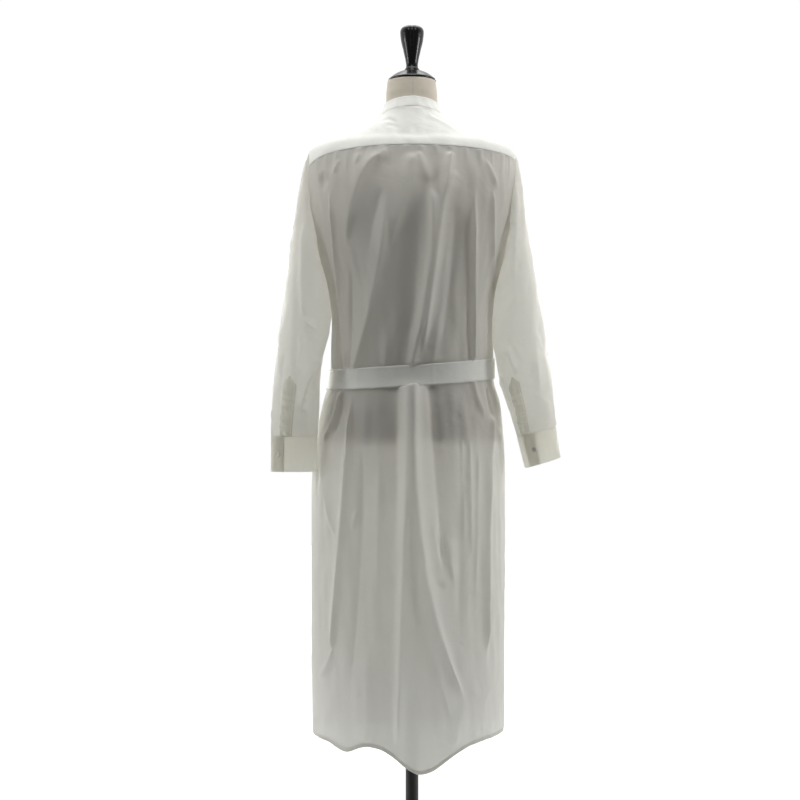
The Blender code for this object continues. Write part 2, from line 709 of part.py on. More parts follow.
def cuff_point(side, turn, drop, out=0.0):
    """A point of the cuff: drop 0 is its top edge, 1 its lower edge."""
    top = SLEEVE_RINGS[side][-1]
    low = CUFF_END[side]
    gap_share = 0.006 + 0.994 * drop
    ring = Ring(*(blend(first, last, gap_share) for first, last in zip(top, low)))
    point = ring_point(ring, side, turn)
    centre = (ring_point(ring, side, 0.0) + ring_point(ring, side, math.pi)) / 2
    outward = point - centre
    outward.z = 0.0
    return point + outward.normalized() * out


CUFF_EDGE_TURN = {"left": math.radians(71.5), "right": math.radians(135.5)}
CUFF_BUTTON_TURN = {"left": math.radians(52.5), "right": math.radians(108.0)}
CUFF_OVERLAP_TURN = 0.62
CUFF_COLUMNS = 28


def cuff_outward(side, turn, drop):
    around = cuff_point(side, turn + 0.1, drop) - cuff_point(side, turn - 0.1, drop)
    down = cuff_point(side, turn, 1.0) - cuff_point(side, turn, 0.0)
    outward = down.cross(around) if side == "left" else around.cross(down)
    return outward.normalized()


def cuff_rows(side):
    """A cuff closed round the wrist; its outer end laps over the other end, behind."""
    start = CUFF_EDGE_TURN[side] - CUFF_OVERLAP_TURN
    rows = []
    for drop in (1.0, 0.5, 0.0):
        line = []
        for column in range(CUFF_COLUMNS + 1):
            share = column / CUFF_COLUMNS
            turn = start + (2 * math.pi + CUFF_OVERLAP_TURN) * share
            over = ease((share - 0.84) / 0.06)
            line.append(cuff_point(side, turn, drop, (WALL + SEAM_GAP) * over))
        rows.append(line if side == "left" else list(reversed(line)))
    return rows


PLACKET_TURN = {"left": (1.386, 1.274), "right": (2.147, 2.180)}
PLACKET_TIP_RING = {"left": 8.45, "right": 8.15}
PLACKET_HALF_TURN = 0.22


def sleeve_chord(side, turn, row):
    """A point of a sleeve's straight facets between two of its rings."""
    low = math.floor(min(row, len(SLEEVE_RINGS[side]) - 1.0001))
    return sleeve_surface(side, turn, low).lerp(sleeve_surface(side, turn, low + 1), row - low)


def sleeve_outward(side, turn, row):
    """The outward direction of a sleeve's surface."""
    around = sleeve_chord(side, turn + 0.1, row) - sleeve_chord(side, turn - 0.1, row)
    down = sleeve_chord(side, turn, row) - sleeve_chord(side, turn, row - 0.5)
    outward = down.cross(around) if side == "left" else around.cross(down)
    return outward.normalized()


def sleeve_placket_rows(side):
    """The strip over a sleeve's opening: from the cuff's top up to a pointed end."""
    last = len(SLEEVE_RINGS[side]) - 1
    tip = PLACKET_TIP_RING[side]
    levels = [last - 0.02, last - 1.0, last - 2.0, last - 3.0, tip + 0.12, tip]
    rows = []
    for index, level in enumerate(levels):
        middle = blend(*PLACKET_TURN[side], (level - tip) / (last - tip))
        width = 0.12 if index == len(levels) - 1 else 1.0
        line = []
        for step in (-1, 0, 1):
            turn = middle + step * PLACKET_HALF_TURN * width
            out = sleeve_outward(side, turn, level) * (SEAM_GAP + STRIP_WALL)
            line.append(sleeve_chord(side, turn, level) + out)
        rows.append(line if side == "left" else list(reversed(line)))
    return rows


# ---------------------------------------------------------------- small pieces
def button(name, centre, outward, material):
    """A plain round button with a shallow dished face, lying flat on its cloth."""
    bm = bmesh.new()
    bmesh.ops.create_cone(
        bm, cap_ends=True, segments=10, radius1=BUTTON_RADIUS,
        radius2=BUTTON_RADIUS * 0.86, depth=BUTTON_THICK,
    )
    mesh = bpy.data.meshes.new(name)
    bm.to_mesh(mesh)
    bm.free()
    thing = add_object(name, mesh, material)
    thing.rotation_mode = "QUATERNION"
    thing.rotation_quaternion = outward.to_track_quat("Z", "Y")
    thing.location = centre + outward * (BUTTON_THICK / 2)
    return thing


def turned(name, profile, material, centre, steps=32):
    """A round piece turned from (radius, height) pairs, listed from the top down."""
    bm = bmesh.new()
    points = [bm.verts.new((radius, 0.0, height)) for radius, height in profile]
    for first, last in zip(points, points[1:]):
        bm.edges.new((first, last))
    mesh = bpy.data.meshes.new(name)
    bm.to_mesh(mesh)
    bm.free()
    thing = add_object(name, mesh, material)
    thing.location = centre
    screw = thing.modifiers.new("turn", "SCREW")
    screw.steps = steps
    screw.render_steps = steps
    screw.use_merge_vertices = True
    screw.merge_threshold = 0.00005
    return thing


def torso_rows():
    """The form: the tube moved inwards by each hoop's own amounts, with a rounded lower edge."""
    levels = [(TORSO_BOTTOM, 0.012), (TORSO_BOTTOM + 0.002, 0.005), (TORSO_BOTTOM + 0.010, 0.0)]
    levels += [(height, 0.0) for height in (0.83, 0.885, 0.925, 0.98, 1.04, 1.10, 1.16, 1.215, 1.26)]
    stations = ["tip", "shoulder", "slope", "nape", "root", "neck", "collar", "throat", "neck_top"]
    rows = []
    for height, trim in levels:
        rows.append([torso_point(angle, station_at(angle, height), trim) for angle in TORSO_ANGLES])
    for name in stations:
        rows.append([torso_point(angle, STATION[name], 0.0) for angle in TORSO_ANGLES])
        if name in ("tip", "shoulder", "neck"):
            rows.append([torso_point(angle, STATION[name] + 0.5, 0.0) for angle in TORSO_ANGLES])
    return rows


TORSO_COLUMNS = 28
TORSO_ANGLES = [2 * math.pi * column / TORSO_COLUMNS for column in range(TORSO_COLUMNS)]


def torso_point(angle, station, trim):
    hoop = hoop_at(station)
    deep = math.sin(angle)
    end = hoop.in_back if deep > 0 else hoop.in_front
    inset = blend(hoop.in_side, end, deep * deep) + trim
    outward = tube_normal(angle, min(station, STATION["throat"]))
    point = hoop_point(hoop, angle) - outward * inset
    if station < STATION["chest"]:
        point.z = hoop_point(hoop, angle).z
    return point


# The turned handle on the neck, as (height, radius); four grooves part it into lobes.
HANDLE = [
    (1.4818, 0.0132), (1.4870, 0.0116), (1.4920, 0.0112), (1.5000, 0.0125), (1.5076, 0.0143),
    (1.5150, 0.0162), (1.5230, 0.0180), (1.5300, 0.0200), (1.5380, 0.0219), (1.5456, 0.0230),
    (1.5530, 0.02375), (1.5590, 0.0220), (1.5630, 0.0178), (1.5655, 0.0100),
]
HANDLE_COLUMNS = 20


def handle_rows():
    rows = []
    for height, radius in HANDLE:
        groove = 0.16 * ease((height - 1.497) / 0.030)
        line = []
        for column in range(HANDLE_COLUMNS):
            angle = 2 * math.pi * column / HANDLE_COLUMNS
            dip = groove * max(0.0, math.cos(4 * angle)) ** 3
            reach = radius * (1 - dip)
            line.append((reach * math.cos(angle), NECK_CENTRE_Y + reach * math.sin(angle), height))
        rows.append(line)
    return rows


CAP_PROFILE = [
    (0.0, 1.4815), (0.0150, 1.4815), (0.0176, 1.4800), (0.0176, 1.4780), (0.0266, 1.4765),
    (0.0380, 1.4700), (0.0450, 1.4635), (0.0460, 1.4612), (0.0455, NECK_TOP + SEAM_GAP),
    (0.0, NECK_TOP + SEAM_GAP),
]
BASE_PROFILE = [
    (0.0, 0.0300), (0.0200, 0.0300), (0.0220, 0.0275), (0.0240, 0.0240), (0.1200, 0.0200),
    (0.1740, 0.0150), (0.1860, 0.0110), (0.1900, 0.0060), (0.1900, 0.0015), (0.1885, 0.0),
    (0.0, 0.0),
]
KNOT_HALF = Vector((0.023, 0.011, 0.020))
KNOT_HEIGHT = belt_middle(-QUARTER)
KNOT_SINK = 0.0012       # how far its rounded back sits in behind the band's forward edge
TAIL_LENGTH = 0.24
TAIL_LIFT = 0.0085       # the tails' outer face over the front, clear of the buttons
FRONT_BUTTON_HEIGHTS = [1.285, 1.195, 1.105, 1.015, 0.945, 0.830, 0.735, 0.640, 0.545, 0.450, 0.355]


def front_spot(height, out, levels):
    """A point of the front's middle line, straight between its levels, moved out, and the way out."""
    low = max(level for level in levels if level <= height)
    high = min(level for level in levels if level > height)
    foot, head = (tube(-QUARTER, station_at(-QUARTER, level)) for level in (low, high))
    outward = Vector((0.0, foot.z - head.z, head.y - foot.y)).normalized()
    return foot.lerp(head, (height - low) / (high - low)) + outward * out, outward


def knot_middle_y():
    """The knot's rounded back is seated on the band, which leans from one edge to the other."""
    band = min(belt_point(-QUARTER, lift).y for lift in (-BELT_WIDTH / 2, BELT_WIDTH / 2))
    return band + KNOT_SINK - SEAM_GAP - KNOT_HALF.y


def knot(material):
    """The belt's knot: a pillow with rounded corners in front of the band."""
    bm = bmesh.new()
    bmesh.ops.create_uvsphere(bm, u_segments=16, v_segments=10, radius=1.0)
    for vertex in bm.verts:
        size = sum(abs(value) ** 3.4 for value in vertex.co) ** (1 / 3.4)
        vertex.co = Vector(value / size * half for value, half in zip(vertex.co, KNOT_HALF))
    mesh = bpy.data.meshes.new("belt_knot")
    bm.to_mesh(mesh)
    bm.free()
    thing = add_object("belt_knot", mesh, material)
    thing.location = (0.0, knot_middle_y(), KNOT_HEIGHT)
    return thing


def tail_rows(side):
    """One end of the belt, hanging from the knot in front of the skirt."""
    sign = 1 if side == "left" else -1
    top = KNOT_HEIGHT - KNOT_HALF.z - SEAM_GAP
    steps = 7
    rows = []
    for row in range(steps, -1, -1):
        share = row / steps
        height = top - TAIL_LENGTH * share
        half = blend(0.010, BELT_WIDTH / 2, ease(share * 4))
        middle = sign * (half + SEAM_GAP + 0.022 * share)
        line = []
        for step in (-1, 0, 1):
            x = middle + step * half
            angle = angle_at_x(x, height, False)
            point = front_point(angle, height)
            point += tube_normal(angle, station_at(angle, height)) * TAIL_LIFT
            point.y = min(point.y, blend(knot_middle_y(), point.y, ease(share * 3)))
            point.x = x
            point.z = height
            line.append(point)
        rows.append(line)
    return rows


def main():
    clear_scene()
    cotton = make_material("Cotton", (0.80, 0.80, 0.77), 0.85)
    linen = make_material("FormLinen", (0.72, 0.68, 0.60), 0.90)
    lacquer = make_material("BlackLacquer", (0.008, 0.008, 0.008), 0.18)
    steel = make_material("BlackSteel", (0.015, 0.015, 0.015), 0.35, 0.6)
    pearl = make_material("PearlButton", (0.82, 0.80, 0.74), 0.25)

    cloth("back", back_rows(), cotton)
    cloth("front_left", front_rows("left"), cotton)
    cloth("front_right", front_rows("right"), cotton)
    cloth("yoke", yoke_rows(), cotton)
    cloth("collar_band", collar_rows(), cotton)
    cloth("front_placket", placket_rows(), cotton, STRIP_WALL)
    cloth("belt", belt_rows(), cotton, BELT_WALL, closed=True)
    knot(cotton)
    for side in SIDES:
        cloth("sleeve_" + side, sleeve_rows(side), cotton, closed=True)
        cloth("cuff_" + side, cuff_rows(side), cotton)
        cloth("sleeve_placket_" + side, sleeve_placket_rows(side), cotton, STRIP_WALL)
        cloth("belt_tail_" + side, tail_rows(side), cotton, BELT_WALL)
        turn = CUFF_BUTTON_TURN[side]
        drop = 0.5
        outward = cuff_outward(side, turn, drop)
        spot = cuff_point(side, turn, drop, WALL + SEAM_GAP) + outward * SEAM_GAP
        button("cuff_button_" + side, spot, outward, pearl)
    over_strip = 2 * SEAM_GAP + STRIP_WALL
    strip_levels = placket_levels()
    for index, height in enumerate(FRONT_BUTTON_HEIGHTS):
        button("front_button_%d" % (index + 1), *front_spot(height, over_strip, strip_levels), pearl)
    collar_levels = [tube(-QUARTER, STATION[name]).z for name in ("neck", "collar")]
    button("collar_button", *front_spot(1.3575, 2 * SEAM_GAP, collar_levels), pearl)

    add_object("torso", grid_mesh("torso", torso_rows(), closed=True, caps=True), linen, 60)
    turned("neck_cap", CAP_PROFILE, lacquer, (0.0, NECK_CENTRE_Y, 0.0), 28)
    add_object("finial", grid_mesh("finial", handle_rows(), closed=True, caps=True), lacquer, 60)
    turned("base", BASE_PROFILE, steel, (0.0, 0.0, 0.0), 40)
    low, high = BASE_PROFILE[0][1] + SEAM_GAP, TORSO_BOTTOM - SEAM_GAP
    bm = bmesh.new()
    bmesh.ops.create_cone(
        bm, cap_ends=True, segments=20, radius1=POLE_RADIUS, radius2=POLE_RADIUS, depth=high - low,
    )
    mesh = bpy.data.meshes.new("pole")
    bm.to_mesh(mesh)
    bm.free()
    add_object("pole", mesh, steel).location = (0.0, 0.0, (low + high) / 2)


main()
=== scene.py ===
"""Looks of the shirt dress on its form: fine cloth with folds and sewing, form, floor, light, camera.

Metres, +Z up, the dress front faces -Y and the camera looks at its back. Every panel is a patch of
one tube of oval hoops, asked for by an angle round the body (0 at the wearer's left side, a quarter
turn at the back) and a height, and all functions work on whole grids of points at once.
"""
import math
from collections import namedtuple

import bmesh
import bpy
import numpy as np
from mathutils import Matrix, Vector


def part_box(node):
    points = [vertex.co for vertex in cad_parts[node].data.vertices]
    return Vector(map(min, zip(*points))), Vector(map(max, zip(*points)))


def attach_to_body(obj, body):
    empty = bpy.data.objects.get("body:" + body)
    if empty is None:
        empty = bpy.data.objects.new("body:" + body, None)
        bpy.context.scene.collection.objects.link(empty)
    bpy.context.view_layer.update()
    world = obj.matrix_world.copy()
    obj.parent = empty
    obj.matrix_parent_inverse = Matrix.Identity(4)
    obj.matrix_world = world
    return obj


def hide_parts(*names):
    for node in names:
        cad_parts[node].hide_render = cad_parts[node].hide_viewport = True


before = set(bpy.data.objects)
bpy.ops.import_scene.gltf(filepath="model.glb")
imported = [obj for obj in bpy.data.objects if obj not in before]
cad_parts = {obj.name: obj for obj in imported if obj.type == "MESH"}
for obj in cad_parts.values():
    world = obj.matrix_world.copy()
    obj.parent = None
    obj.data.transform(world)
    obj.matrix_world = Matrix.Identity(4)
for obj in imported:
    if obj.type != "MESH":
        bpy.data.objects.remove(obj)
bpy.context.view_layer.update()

QUARTER = math.pi / 2
SIDES = ("left", "right")
SIGN = {"left": 1, "right": -1}      # of x

# ---------------------------------------------------------------- camera
VIEW_DISTANCE = 2.4
VIEW_HEIGHT = 0.854
FRAME_WIDTH = 1.52       # what the picture spans at the dress's axis
AXIS_SHIFT = -0.015      # the axis stands a little to the right of the picture's middle


def place_camera():
    data = bpy.data.cameras.new("camera")
    data.sensor_width = 36.0
    data.lens = data.sensor_width * VIEW_DISTANCE / FRAME_WIDTH
    data.shift_x = AXIS_SHIFT
    camera = bpy.data.objects.new("camera", data)
    camera.location = (0.0, VIEW_DISTANCE, VIEW_HEIGHT)
    camera.rotation_euler = (QUARTER, 0.0, math.pi)
    bpy.context.scene.collection.objects.link(camera)
    bpy.context.scene.camera = camera


# ---------------------------------------------------------------- the tube of the dress
def in_metres(kind, rows):
    """The rows of a table whose lengths are given in millimetres."""
    return [kind(*(cell if isinstance(cell, str) else cell / 1000 for cell in row)) for row in rows]


def full_turn(count):
    """Angles once round, evenly spaced, without the last one that meets the first."""
    return np.linspace(0.0, 2 * math.pi, count + 1)[:-1]


# One row is one hoop: its reach to the left, right, back and front, its height at the sides, back
# and front, the roundness of its corners, and how far inside it the form lies.
Hoop = namedtuple(
    "Hoop",
    "name left right back front z_side z_back z_front corner in_side in_back in_front",
)
HOOPS = [
    Hoop("hem", 0.187, 0.174, 0.132, 0.12, 0.15, 0.15, 0.15, 2.1, 0.03, 0.02, 0.02),
    Hoop("shin", 0.19, 0.175, 0.13, 0.12, 0.4, 0.4, 0.4, 2.1, 0.03, 0.02, 0.02),
    Hoop("thigh", 0.19, 0.176, 0.127, 0.118, 0.68, 0.68, 0.68, 2.1, 0.022, 0.01, 0.012),
    Hoop("seat", 0.184, 0.174, 0.124, 0.116, 0.765, 0.765, 0.765, 2.1, 0.018, 0.007, 0.01),
    Hoop("hip", 0.169, 0.167, 0.118, 0.111, 0.845, 0.845, 0.845, 2.1, 0.016, 0.008, 0.01),
    Hoop("waist", 0.1555, 0.1545, 0.106, 0.102, 0.89, 0.89, 0.89, 2.2, 0.03, 0.018, 0.016),
    Hoop("blouse", 0.1535, 0.154, 0.111, 0.107, 0.935, 0.935, 0.935, 2.2, 0.038, 0.026, 0.02),
    Hoop("rib", 0.1515, 0.153, 0.116, 0.118, 1.0, 1.0, 1.0, 2.3, 0.026, 0.024, 0.018),
    Hoop("bust", 0.158, 0.1575, 0.119, 0.127, 1.06, 1.06, 1.06, 2.3, 0.02, 0.015, 0.009),
    Hoop("underarm", 0.174, 0.173, 0.121, 0.131, 1.12, 1.12, 1.12, 2.4, 0.022, 0.008, 0.0062),
    Hoop("blade", 0.196, 0.195, 0.122, 0.126, 1.2, 1.2, 1.2, 2.5, 0.016, 0.0045, 0.0062),
    Hoop("chest", 0.202, 0.201, 0.116, 0.112, 1.255, 1.255, 1.255, 2.5, 0.009, 0.0032, 0.0066),
    Hoop("tip", 0.2, 0.199, 0.106, 0.096, 1.3, 1.3, 1.3, 2.3, 0.01, 0.003, 0.0068),
    Hoop("shoulder", 0.191, 0.191, 0.096, 0.086, 1.329, 1.329, 1.322, 2.1, 0.005, 0.0028, 0.0068),
    Hoop("slope", 0.15, 0.15, 0.084, 0.08, 1.3475, 1.345, 1.329, 2.0, 0.003, 0.0026, 0.0064),
    Hoop("nape", 0.098, 0.096, 0.071, 0.074, 1.3655, 1.368, 1.336, 2.0, 0.0026, 0.0026, 0.006),
    Hoop("root", 0.073, 0.073, 0.062, 0.07, 1.377, 1.386, 1.34, 2.0, 0.0026, 0.0026, 0.0058),
    Hoop("neck", 0.0615, 0.061, 0.056, 0.0665, 1.39, 1.4, 1.346, 2.0, 0.0024, 0.0024, 0.0052),
    Hoop("collar", 0.0525, 0.0515, 0.047, 0.06, 1.413, 1.4205, 1.369, 2.0, 0.0023, 0.0023, 0.0048),
    Hoop("throat", 0.049, 0.0478, 0.0425, 0.0535, 1.436, 1.438, 1.41, 2.0, 0.0, 0.0, 0.0),
    Hoop("neck_top", 0.0465, 0.045, 0.0395, 0.0515, 1.4585, 1.4585, 1.4585, 2.0, 0.0, 0.0, 0.0),
]
STATION = {hoop.name: index for index, hoop in enumerate(HOOPS)}
TABLE = np.array([hoop[1:] for hoop in HOOPS])
COLUMN = {name: index for index, name in enumerate(Hoop._fields[1:])}
TOP_STATION = len(HOOPS) - 1.0
MEAN_RADIUS = 0.150      # turns an angle round the body into a distance


def blend(first, last, share):
    return first + (last - first) * share


def ease(share):
    share = np.clip(share, 0.0, 1.0)
    return share * share * (3 - 2 * share)


def curve_between(first, slope_first, last, slope_last, share):
    """A smooth curve between two values with the given slopes at its ends."""
    square = share * share
    cube = square * share
    return (
        (2 * cube - 3 * square + 1) * first
        + (cube - 2 * square + share) * slope_first
        + (3 * square - 2 * cube) * last
        + (cube - square) * slope_last
    )


def hoop_values(station):
    """The hoops' values at fractional rows, by a smooth curve through the rows."""
    station = np.asarray(station, float)
    low = np.clip(station.astype(int), 0, len(TABLE) - 2)
    share = (station - low)[..., None]
    before, first, last, after = (TABLE[np.clip(low + step, 0, len(TABLE) - 1)] for step in (-1, 0, 1, 2))
    limit = 3 * np.abs(last - first)
    slope_first = np.clip((last - before) / 2, -limit, limit)
    slope_last = np.clip((after - first) / 2, -limit, limit)
    return curve_between(first, slope_first, last, slope_last, share)


def signed_power(value, power):
    return np.sign(value) * np.abs(value) ** power


def tube(angle, station):
    """Points of the smooth tube. Angle 0 is the wearer's left side, a quarter turn is the back."""
    angle, station = np.broadcast_arrays(np.asarray(angle, float), np.asarray(station, float))
    values = hoop_values(station)
    across = np.cos(angle)
    deep = np.sin(angle)
    power = 2 / values[..., COLUMN["corner"]]
    reach_x = np.where(across > 0, values[..., COLUMN["left"]], values[..., COLUMN["right"]])
    reach_y = np.where(deep > 0, values[..., COLUMN["back"]], values[..., COLUMN["front"]])
    side_z = values[..., COLUMN["z_side"]]
    end_z = np.where(deep > 0, values[..., COLUMN["z_back"]], values[..., COLUMN["z_front"]])
    return np.stack([
        reach_x * signed_power(across, power),
        reach_y * signed_power(deep, power),
        side_z + (end_z - side_z) * deep * deep,
    ], axis=-1)


def unit(vectors):
    return vectors / np.linalg.norm(vectors, axis=-1, keepdims=True)


def tube_normal(angle, station):
    round_about = tube(angle + 0.02, station) - tube(angle - 0.02, station)
    top = np.minimum(station + 0.05, TOP_STATION)
    upward = tube(angle, top) - tube(angle, np.maximum(station - 0.05, 0.0))
    return unit(np.cross(round_about, upward))


FINE_STATIONS = np.linspace(0.0, TOP_STATION, 4001)
FINE_VALUES = hoop_values(FINE_STATIONS)


def station_at(angle, height):
    """The fractional rows at which the tube passes the heights."""
    angle, height = np.broadcast_arrays(np.asarray(angle, float), np.asarray(height, float))
    deep = np.sin(angle)
    low = np.zeros(angle.shape)
    high = np.full(angle.shape, TOP_STATION)
    for _ in range(24):
        middle = (low + high) / 2
        side_z = np.interp(middle, FINE_STATIONS, FINE_VALUES[:, COLUMN["z_side"]])
        back_z = np.interp(middle, FINE_STATIONS, FINE_VALUES[:, COLUMN["z_back"]])
        front_z = np.interp(middle, FINE_STATIONS, FINE_VALUES[:, COLUMN["z_front"]])
        end_z = np.where(deep > 0, back_z, front_z)
        below = side_z + (end_z - side_z) * deep * deep < height
        low = np.where(below, middle, low)
        high = np.where(below, high, middle)
    return (low + high) / 2


def angle_at_x(x, height, at_back):
    """The angles at which the tube passes x, on the back or the front."""
    x, height = np.broadcast_arrays(np.asarray(x, float), np.asarray(height, float))
    side = 1.0 if at_back else -1.0
    low = np.zeros(x.shape)
    high = np.full(x.shape, math.pi)
    for _ in range(24):
        middle = (low + high) / 2
        beyond = tube(side * middle, station_at(side * middle, height))[..., 0] > x
        low = np.where(beyond, middle, low)
        high = np.where(beyond, high, middle)
    return side * (low + high) / 2


def on_tube(angle, height, out):
    """Points of the tube at the heights, moved out along its surface's direction."""
    station = station_at(angle, height)
    return tube(angle, station) + tube_normal(angle, station) * np.asarray(out)[..., None]


# ---------------------------------------------------------------- creases
# A crease is a soft ridge (or a trough, with a negative rise) along a smooth line through three
# points, given by x and height from top to bottom. Its two flanks have their own widths, towards
# the wearer's left and right, and it fades in and out over two lengths at its ends. The rows are
# in millimetres.
Crease = namedtuple(
    "Crease",
    "name x_top z_top x_mid z_mid x_low z_low rise flank_left flank_right fade_top fade_low",
)
BACK_CREASES = in_metres(Crease, [
    ("side_edge", 150, 1239, 137, 1080, 120, 896, 5, 4, 5, 20, 5),
    ("side_hollow", 110, 1104, 112, 999, 116, 896, -3.5, 4, 7, 40, 5),
    ("left_strand", 51, 1304, 96, 1250, 121, 1129, 6, 18, 6, 8, 30),
    ("left_fold", 49, 1227, 61, 1086, 110, 896, 6.5, 11, 8, 30, 4),
    ("left_tip", 52, 1241, 67, 1189, 81, 1104, -2.5, 10, 5, 15, 40),
    ("mid_strand", -2, 1306, 11, 1234, 43, 1122, 5.5, 10, 6, 8, 30),
    ("mid_hollow", -5, 1216, -7, 1086, 13, 926, -4, 12, 6, 30, 30),
    ("v_left", -11, 1308, -22, 1274, -34, 1241, 3.5, 4, 4, 5, 10),
    ("centre_fold", -27, 1256, -34, 1134, 5, 894, 6.5, 3.5, 9, 20, 3),
    ("v_right", -72, 1308, -51, 1171, -20, 941, 6.5, 8, 4.5, 5, 25),
    ("right_hollow", -78, 1216, -72, 1089, -51, 944, -3.5, 10, 14, 30, 30),
    ("diagonal", -81, 1275, -72, 1252, -62, 1218, 2.5, 4, 6, 8, 12),
    ("right_fold", -115, 1241, -111, 1080, -111, 901, 8, 3.4, 3.4, 40, 18),
    ("arm_line", -148, 1239, -149, 1125, -152, 1040, 4, 3, 3, 10, 15),
    ("arm_diagonal", -134, 1297, -147, 1268, -159, 1239, 3, 5, 3.5, 8, 10),
    ("shoulder_dip", 160, 1278, 165, 1256, 160, 1231, -5, 6, 6, 10, 12),
    ("pucker_a", 130, 1296, 139, 1278, 148, 1260, 2, 4, 3, 4, 8),
    ("pucker_b", 92, 1307, 99, 1294, 109, 1275, 2, 3.5, 3, 4, 8),
    ("pucker_c", 47, 1315, 54, 1298, 62, 1282, 2.4, 3.5, 3, 4, 8),
    ("low_swell", 139, 1035, 145, 972, 143, 896, 4, 8, 8, 20, 4),
    ("low_mid", 42, 995, 47, 944, 51, 894, 2.6, 7, 7, 25, 4),
    ("low_centre", -58, 1049, -45, 972, -36, 896, 3.2, 7, 10, 40, 4),
    ("low_right", -136, 1035, -136, 972, -134, 905, 3, 7, 7, 25, 4),
    ("centre_left", 7, 901, 14, 592, 27, 219, 8.5, 4.5, 15, 3, 30),
    ("centre_right", -8, 901, -22, 565, -98, 304, 8, 13, 4.5, 3, 25),
    ("centre_plateau", 0, 905, -2, 800, -4, 640, 5.5, 9, 9, 3, 60),
    ("centre_light", -27, 594, -22, 492, -72, 270, 2.5, 5, 9, 30, 20),
    ("centre_dip", 4, 673, 0, 546, -11, 420, -2, 4, 4, 30, 30),
    ("right_shade", -29, 890, -43, 727, -58, 546, -6, 5, 16, 4, 15),
    ("left_shade", 25, 890, 27, 764, 29, 546, -5, 18, 5, 4, 80),
    ("hip_strand", -110, 897, -119, 854, -137, 821, 5, 3.5, 8, 3, 10),
    ("hip_hollow", -141, 881, -145, 845, -154, 821, -3.5, 5, 5, 5, 8),
    ("hip_edge", -147, 823, -157, 800, -166, 771, 3.5, 3, 4, 4, 8),
    ("right_ridge", -147, 827, -138, 637, -137, 380, 8, 8, 4.5, 8, 25),
    ("right_valley", -105, 800, -90, 637, -87, 402, -4, 18, 12, 50, 50),
    ("left_ridge", 110, 868, 127, 637, 147, 393, 6.5, 6, 6, 30, 10),
    ("left_kink", 145, 402, 154, 369, 172, 340, 3.5, 4, 4, 8, 8),
    ("left_valley", 90, 782, 94, 565, 112, 329, -3.5, 7, 16, 30, 60),
    ("side_crease", 165, 698, 156, 651, 137, 599, 2.5, 2.5, 3.5, 5, 12),
    ("belt_strand", 123, 883, 141, 823, 165, 774, 5, 7, 3, 3, 8),
    ("belt_hollow", 130, 863, 137, 818, 148, 785, -4.5, 3, 6, 5, 8),
    ("small_line", 99, 659, 105, 637, 109, 613, 1.8, 3, 3, 6, 8),
    ("facet", -63, 615, -69, 565, -80, 514, 3, 2.6, 9, 10, 14),
    ("facet_low", -38, 530, -51, 519, -65, 514, -2.4, 3, 4, 5, 6),
    ("faint_a", -90, 789, -94, 709, -96, 592, 1.6, 3, 3.5, 10, 20),
    ("faint_b", -105, 782, -107, 691, -110, 565, 1.8, 3, 3.5, 10, 25),
    ("faint_c", 58, 764, 62, 637, 63, 492, 1.5, 6, 6, 30, 40),
    ("faint_d", -121, 764, -119, 655, -116, 492, 1.6, 3, 4, 15, 25),
    ("hem_line_a", -105, 326, -134, 317, -163, 329, 1.8, 3, 4, 8, 8),
    ("hem_line_b", -112, 311, -128, 306, -145, 313, 1.4, 3, 3, 6, 6),
    ("hem_swell_a", 80, 420, 83, 329, 83, 235, 3.5, 13, 13, 40, 5),
    ("hem_swell_b", -89, 311, -83, 272, -80, 230, 3, 12, 10, 20, 5),
])
FRONT_CREASES = in_metres(Crease, [
    ("chest_left", 96, 1230, 104, 1080, 118, 897, 7, 18, 6, 60, 4),
    ("bust_left", 50, 1130, 58, 1040, 70, 897, 5, 12, 5, 60, 4),
    ("thin_left", 128, 1180, 130, 1080, 136, 930, 4, 4, 8, 30, 8),
    ("hollow_left", 80, 1090, 84, 1010, 92, 925, -4, 8, 8, 40, 4),
    ("chest_right", -100, 1225, -100, 1080, -110, 897, 7, 6, 16, 60, 4),
    ("bust_right", -54, 1110, -58, 1020, -66, 897, 5, 5, 12, 50, 4),
    ("thin_right", -132, 1150, -134, 1060, -130, 930, 4, 6, 4, 30, 8),
    ("hollow_right", -80, 1060, -83, 1000, -88, 925, -4, 8, 8, 40, 4),
    ("arm_left", 150, 1262, 142, 1235, 128, 1210, 3, 4, 4, 6, 12),
    ("arm_right", -152, 1262, -145, 1236, -134, 1214, 3, 4, 4, 6, 12),
    ("skirt_a", 58, 905, 66, 640, 76, 219, 11, 6, 18, 2, 20),
    ("skirt_b", 116, 905, 134, 620, 142, 240, 8, 16, 6, 2, 40),
    ("skirt_c", -64, 905, -70, 640, -88, 219, 11, 18, 6, 2, 20),
    ("skirt_d", -124, 905, -132, 600, -140, 300, 8, 6, 16, 2, 40),
    ("skirt_e", 36, 700, 38, 520, 40, 300, 4, 10, 6, 80, 60),
    ("skirt_f", -36, 760, -40, 560, -42, 330, 4, 6, 10, 80, 60),
    ("shade_a", 88, 862, 94, 740, 98, 560, -6, 14, 6, 4, 80),
    ("shade_b", -94, 862, -100, 740, -106, 560, -6, 6, 14, 4, 80),
    ("kink_front", 152, 470, 146, 440, 132, 415, 3, 4, 5, 6, 10),
    ("kink_right", -150, 560, -142, 530, -128, 508, 3, 5, 4, 6, 10),
])
PATH_STEPS = 17
FLANK_SCALE = 1.35       # turns the tables' widths into the falloff's
FLANK_REACH = 4.5        # a crease ends this many widths away
FLANK_POWER = 1.15       # near 1 the crests are pointed and the flanks hollow, near 2 both are round
CREST_RADIUS = 0.0016    # how round the top of a crease is
RISE_LENGTHS = 2.2       # a crease rises over this many fade lengths
WIDEN_LENGTHS = 9.0      # and widens over this many
END_WIDTH = 0.35         # the share of its width that it has at its ends


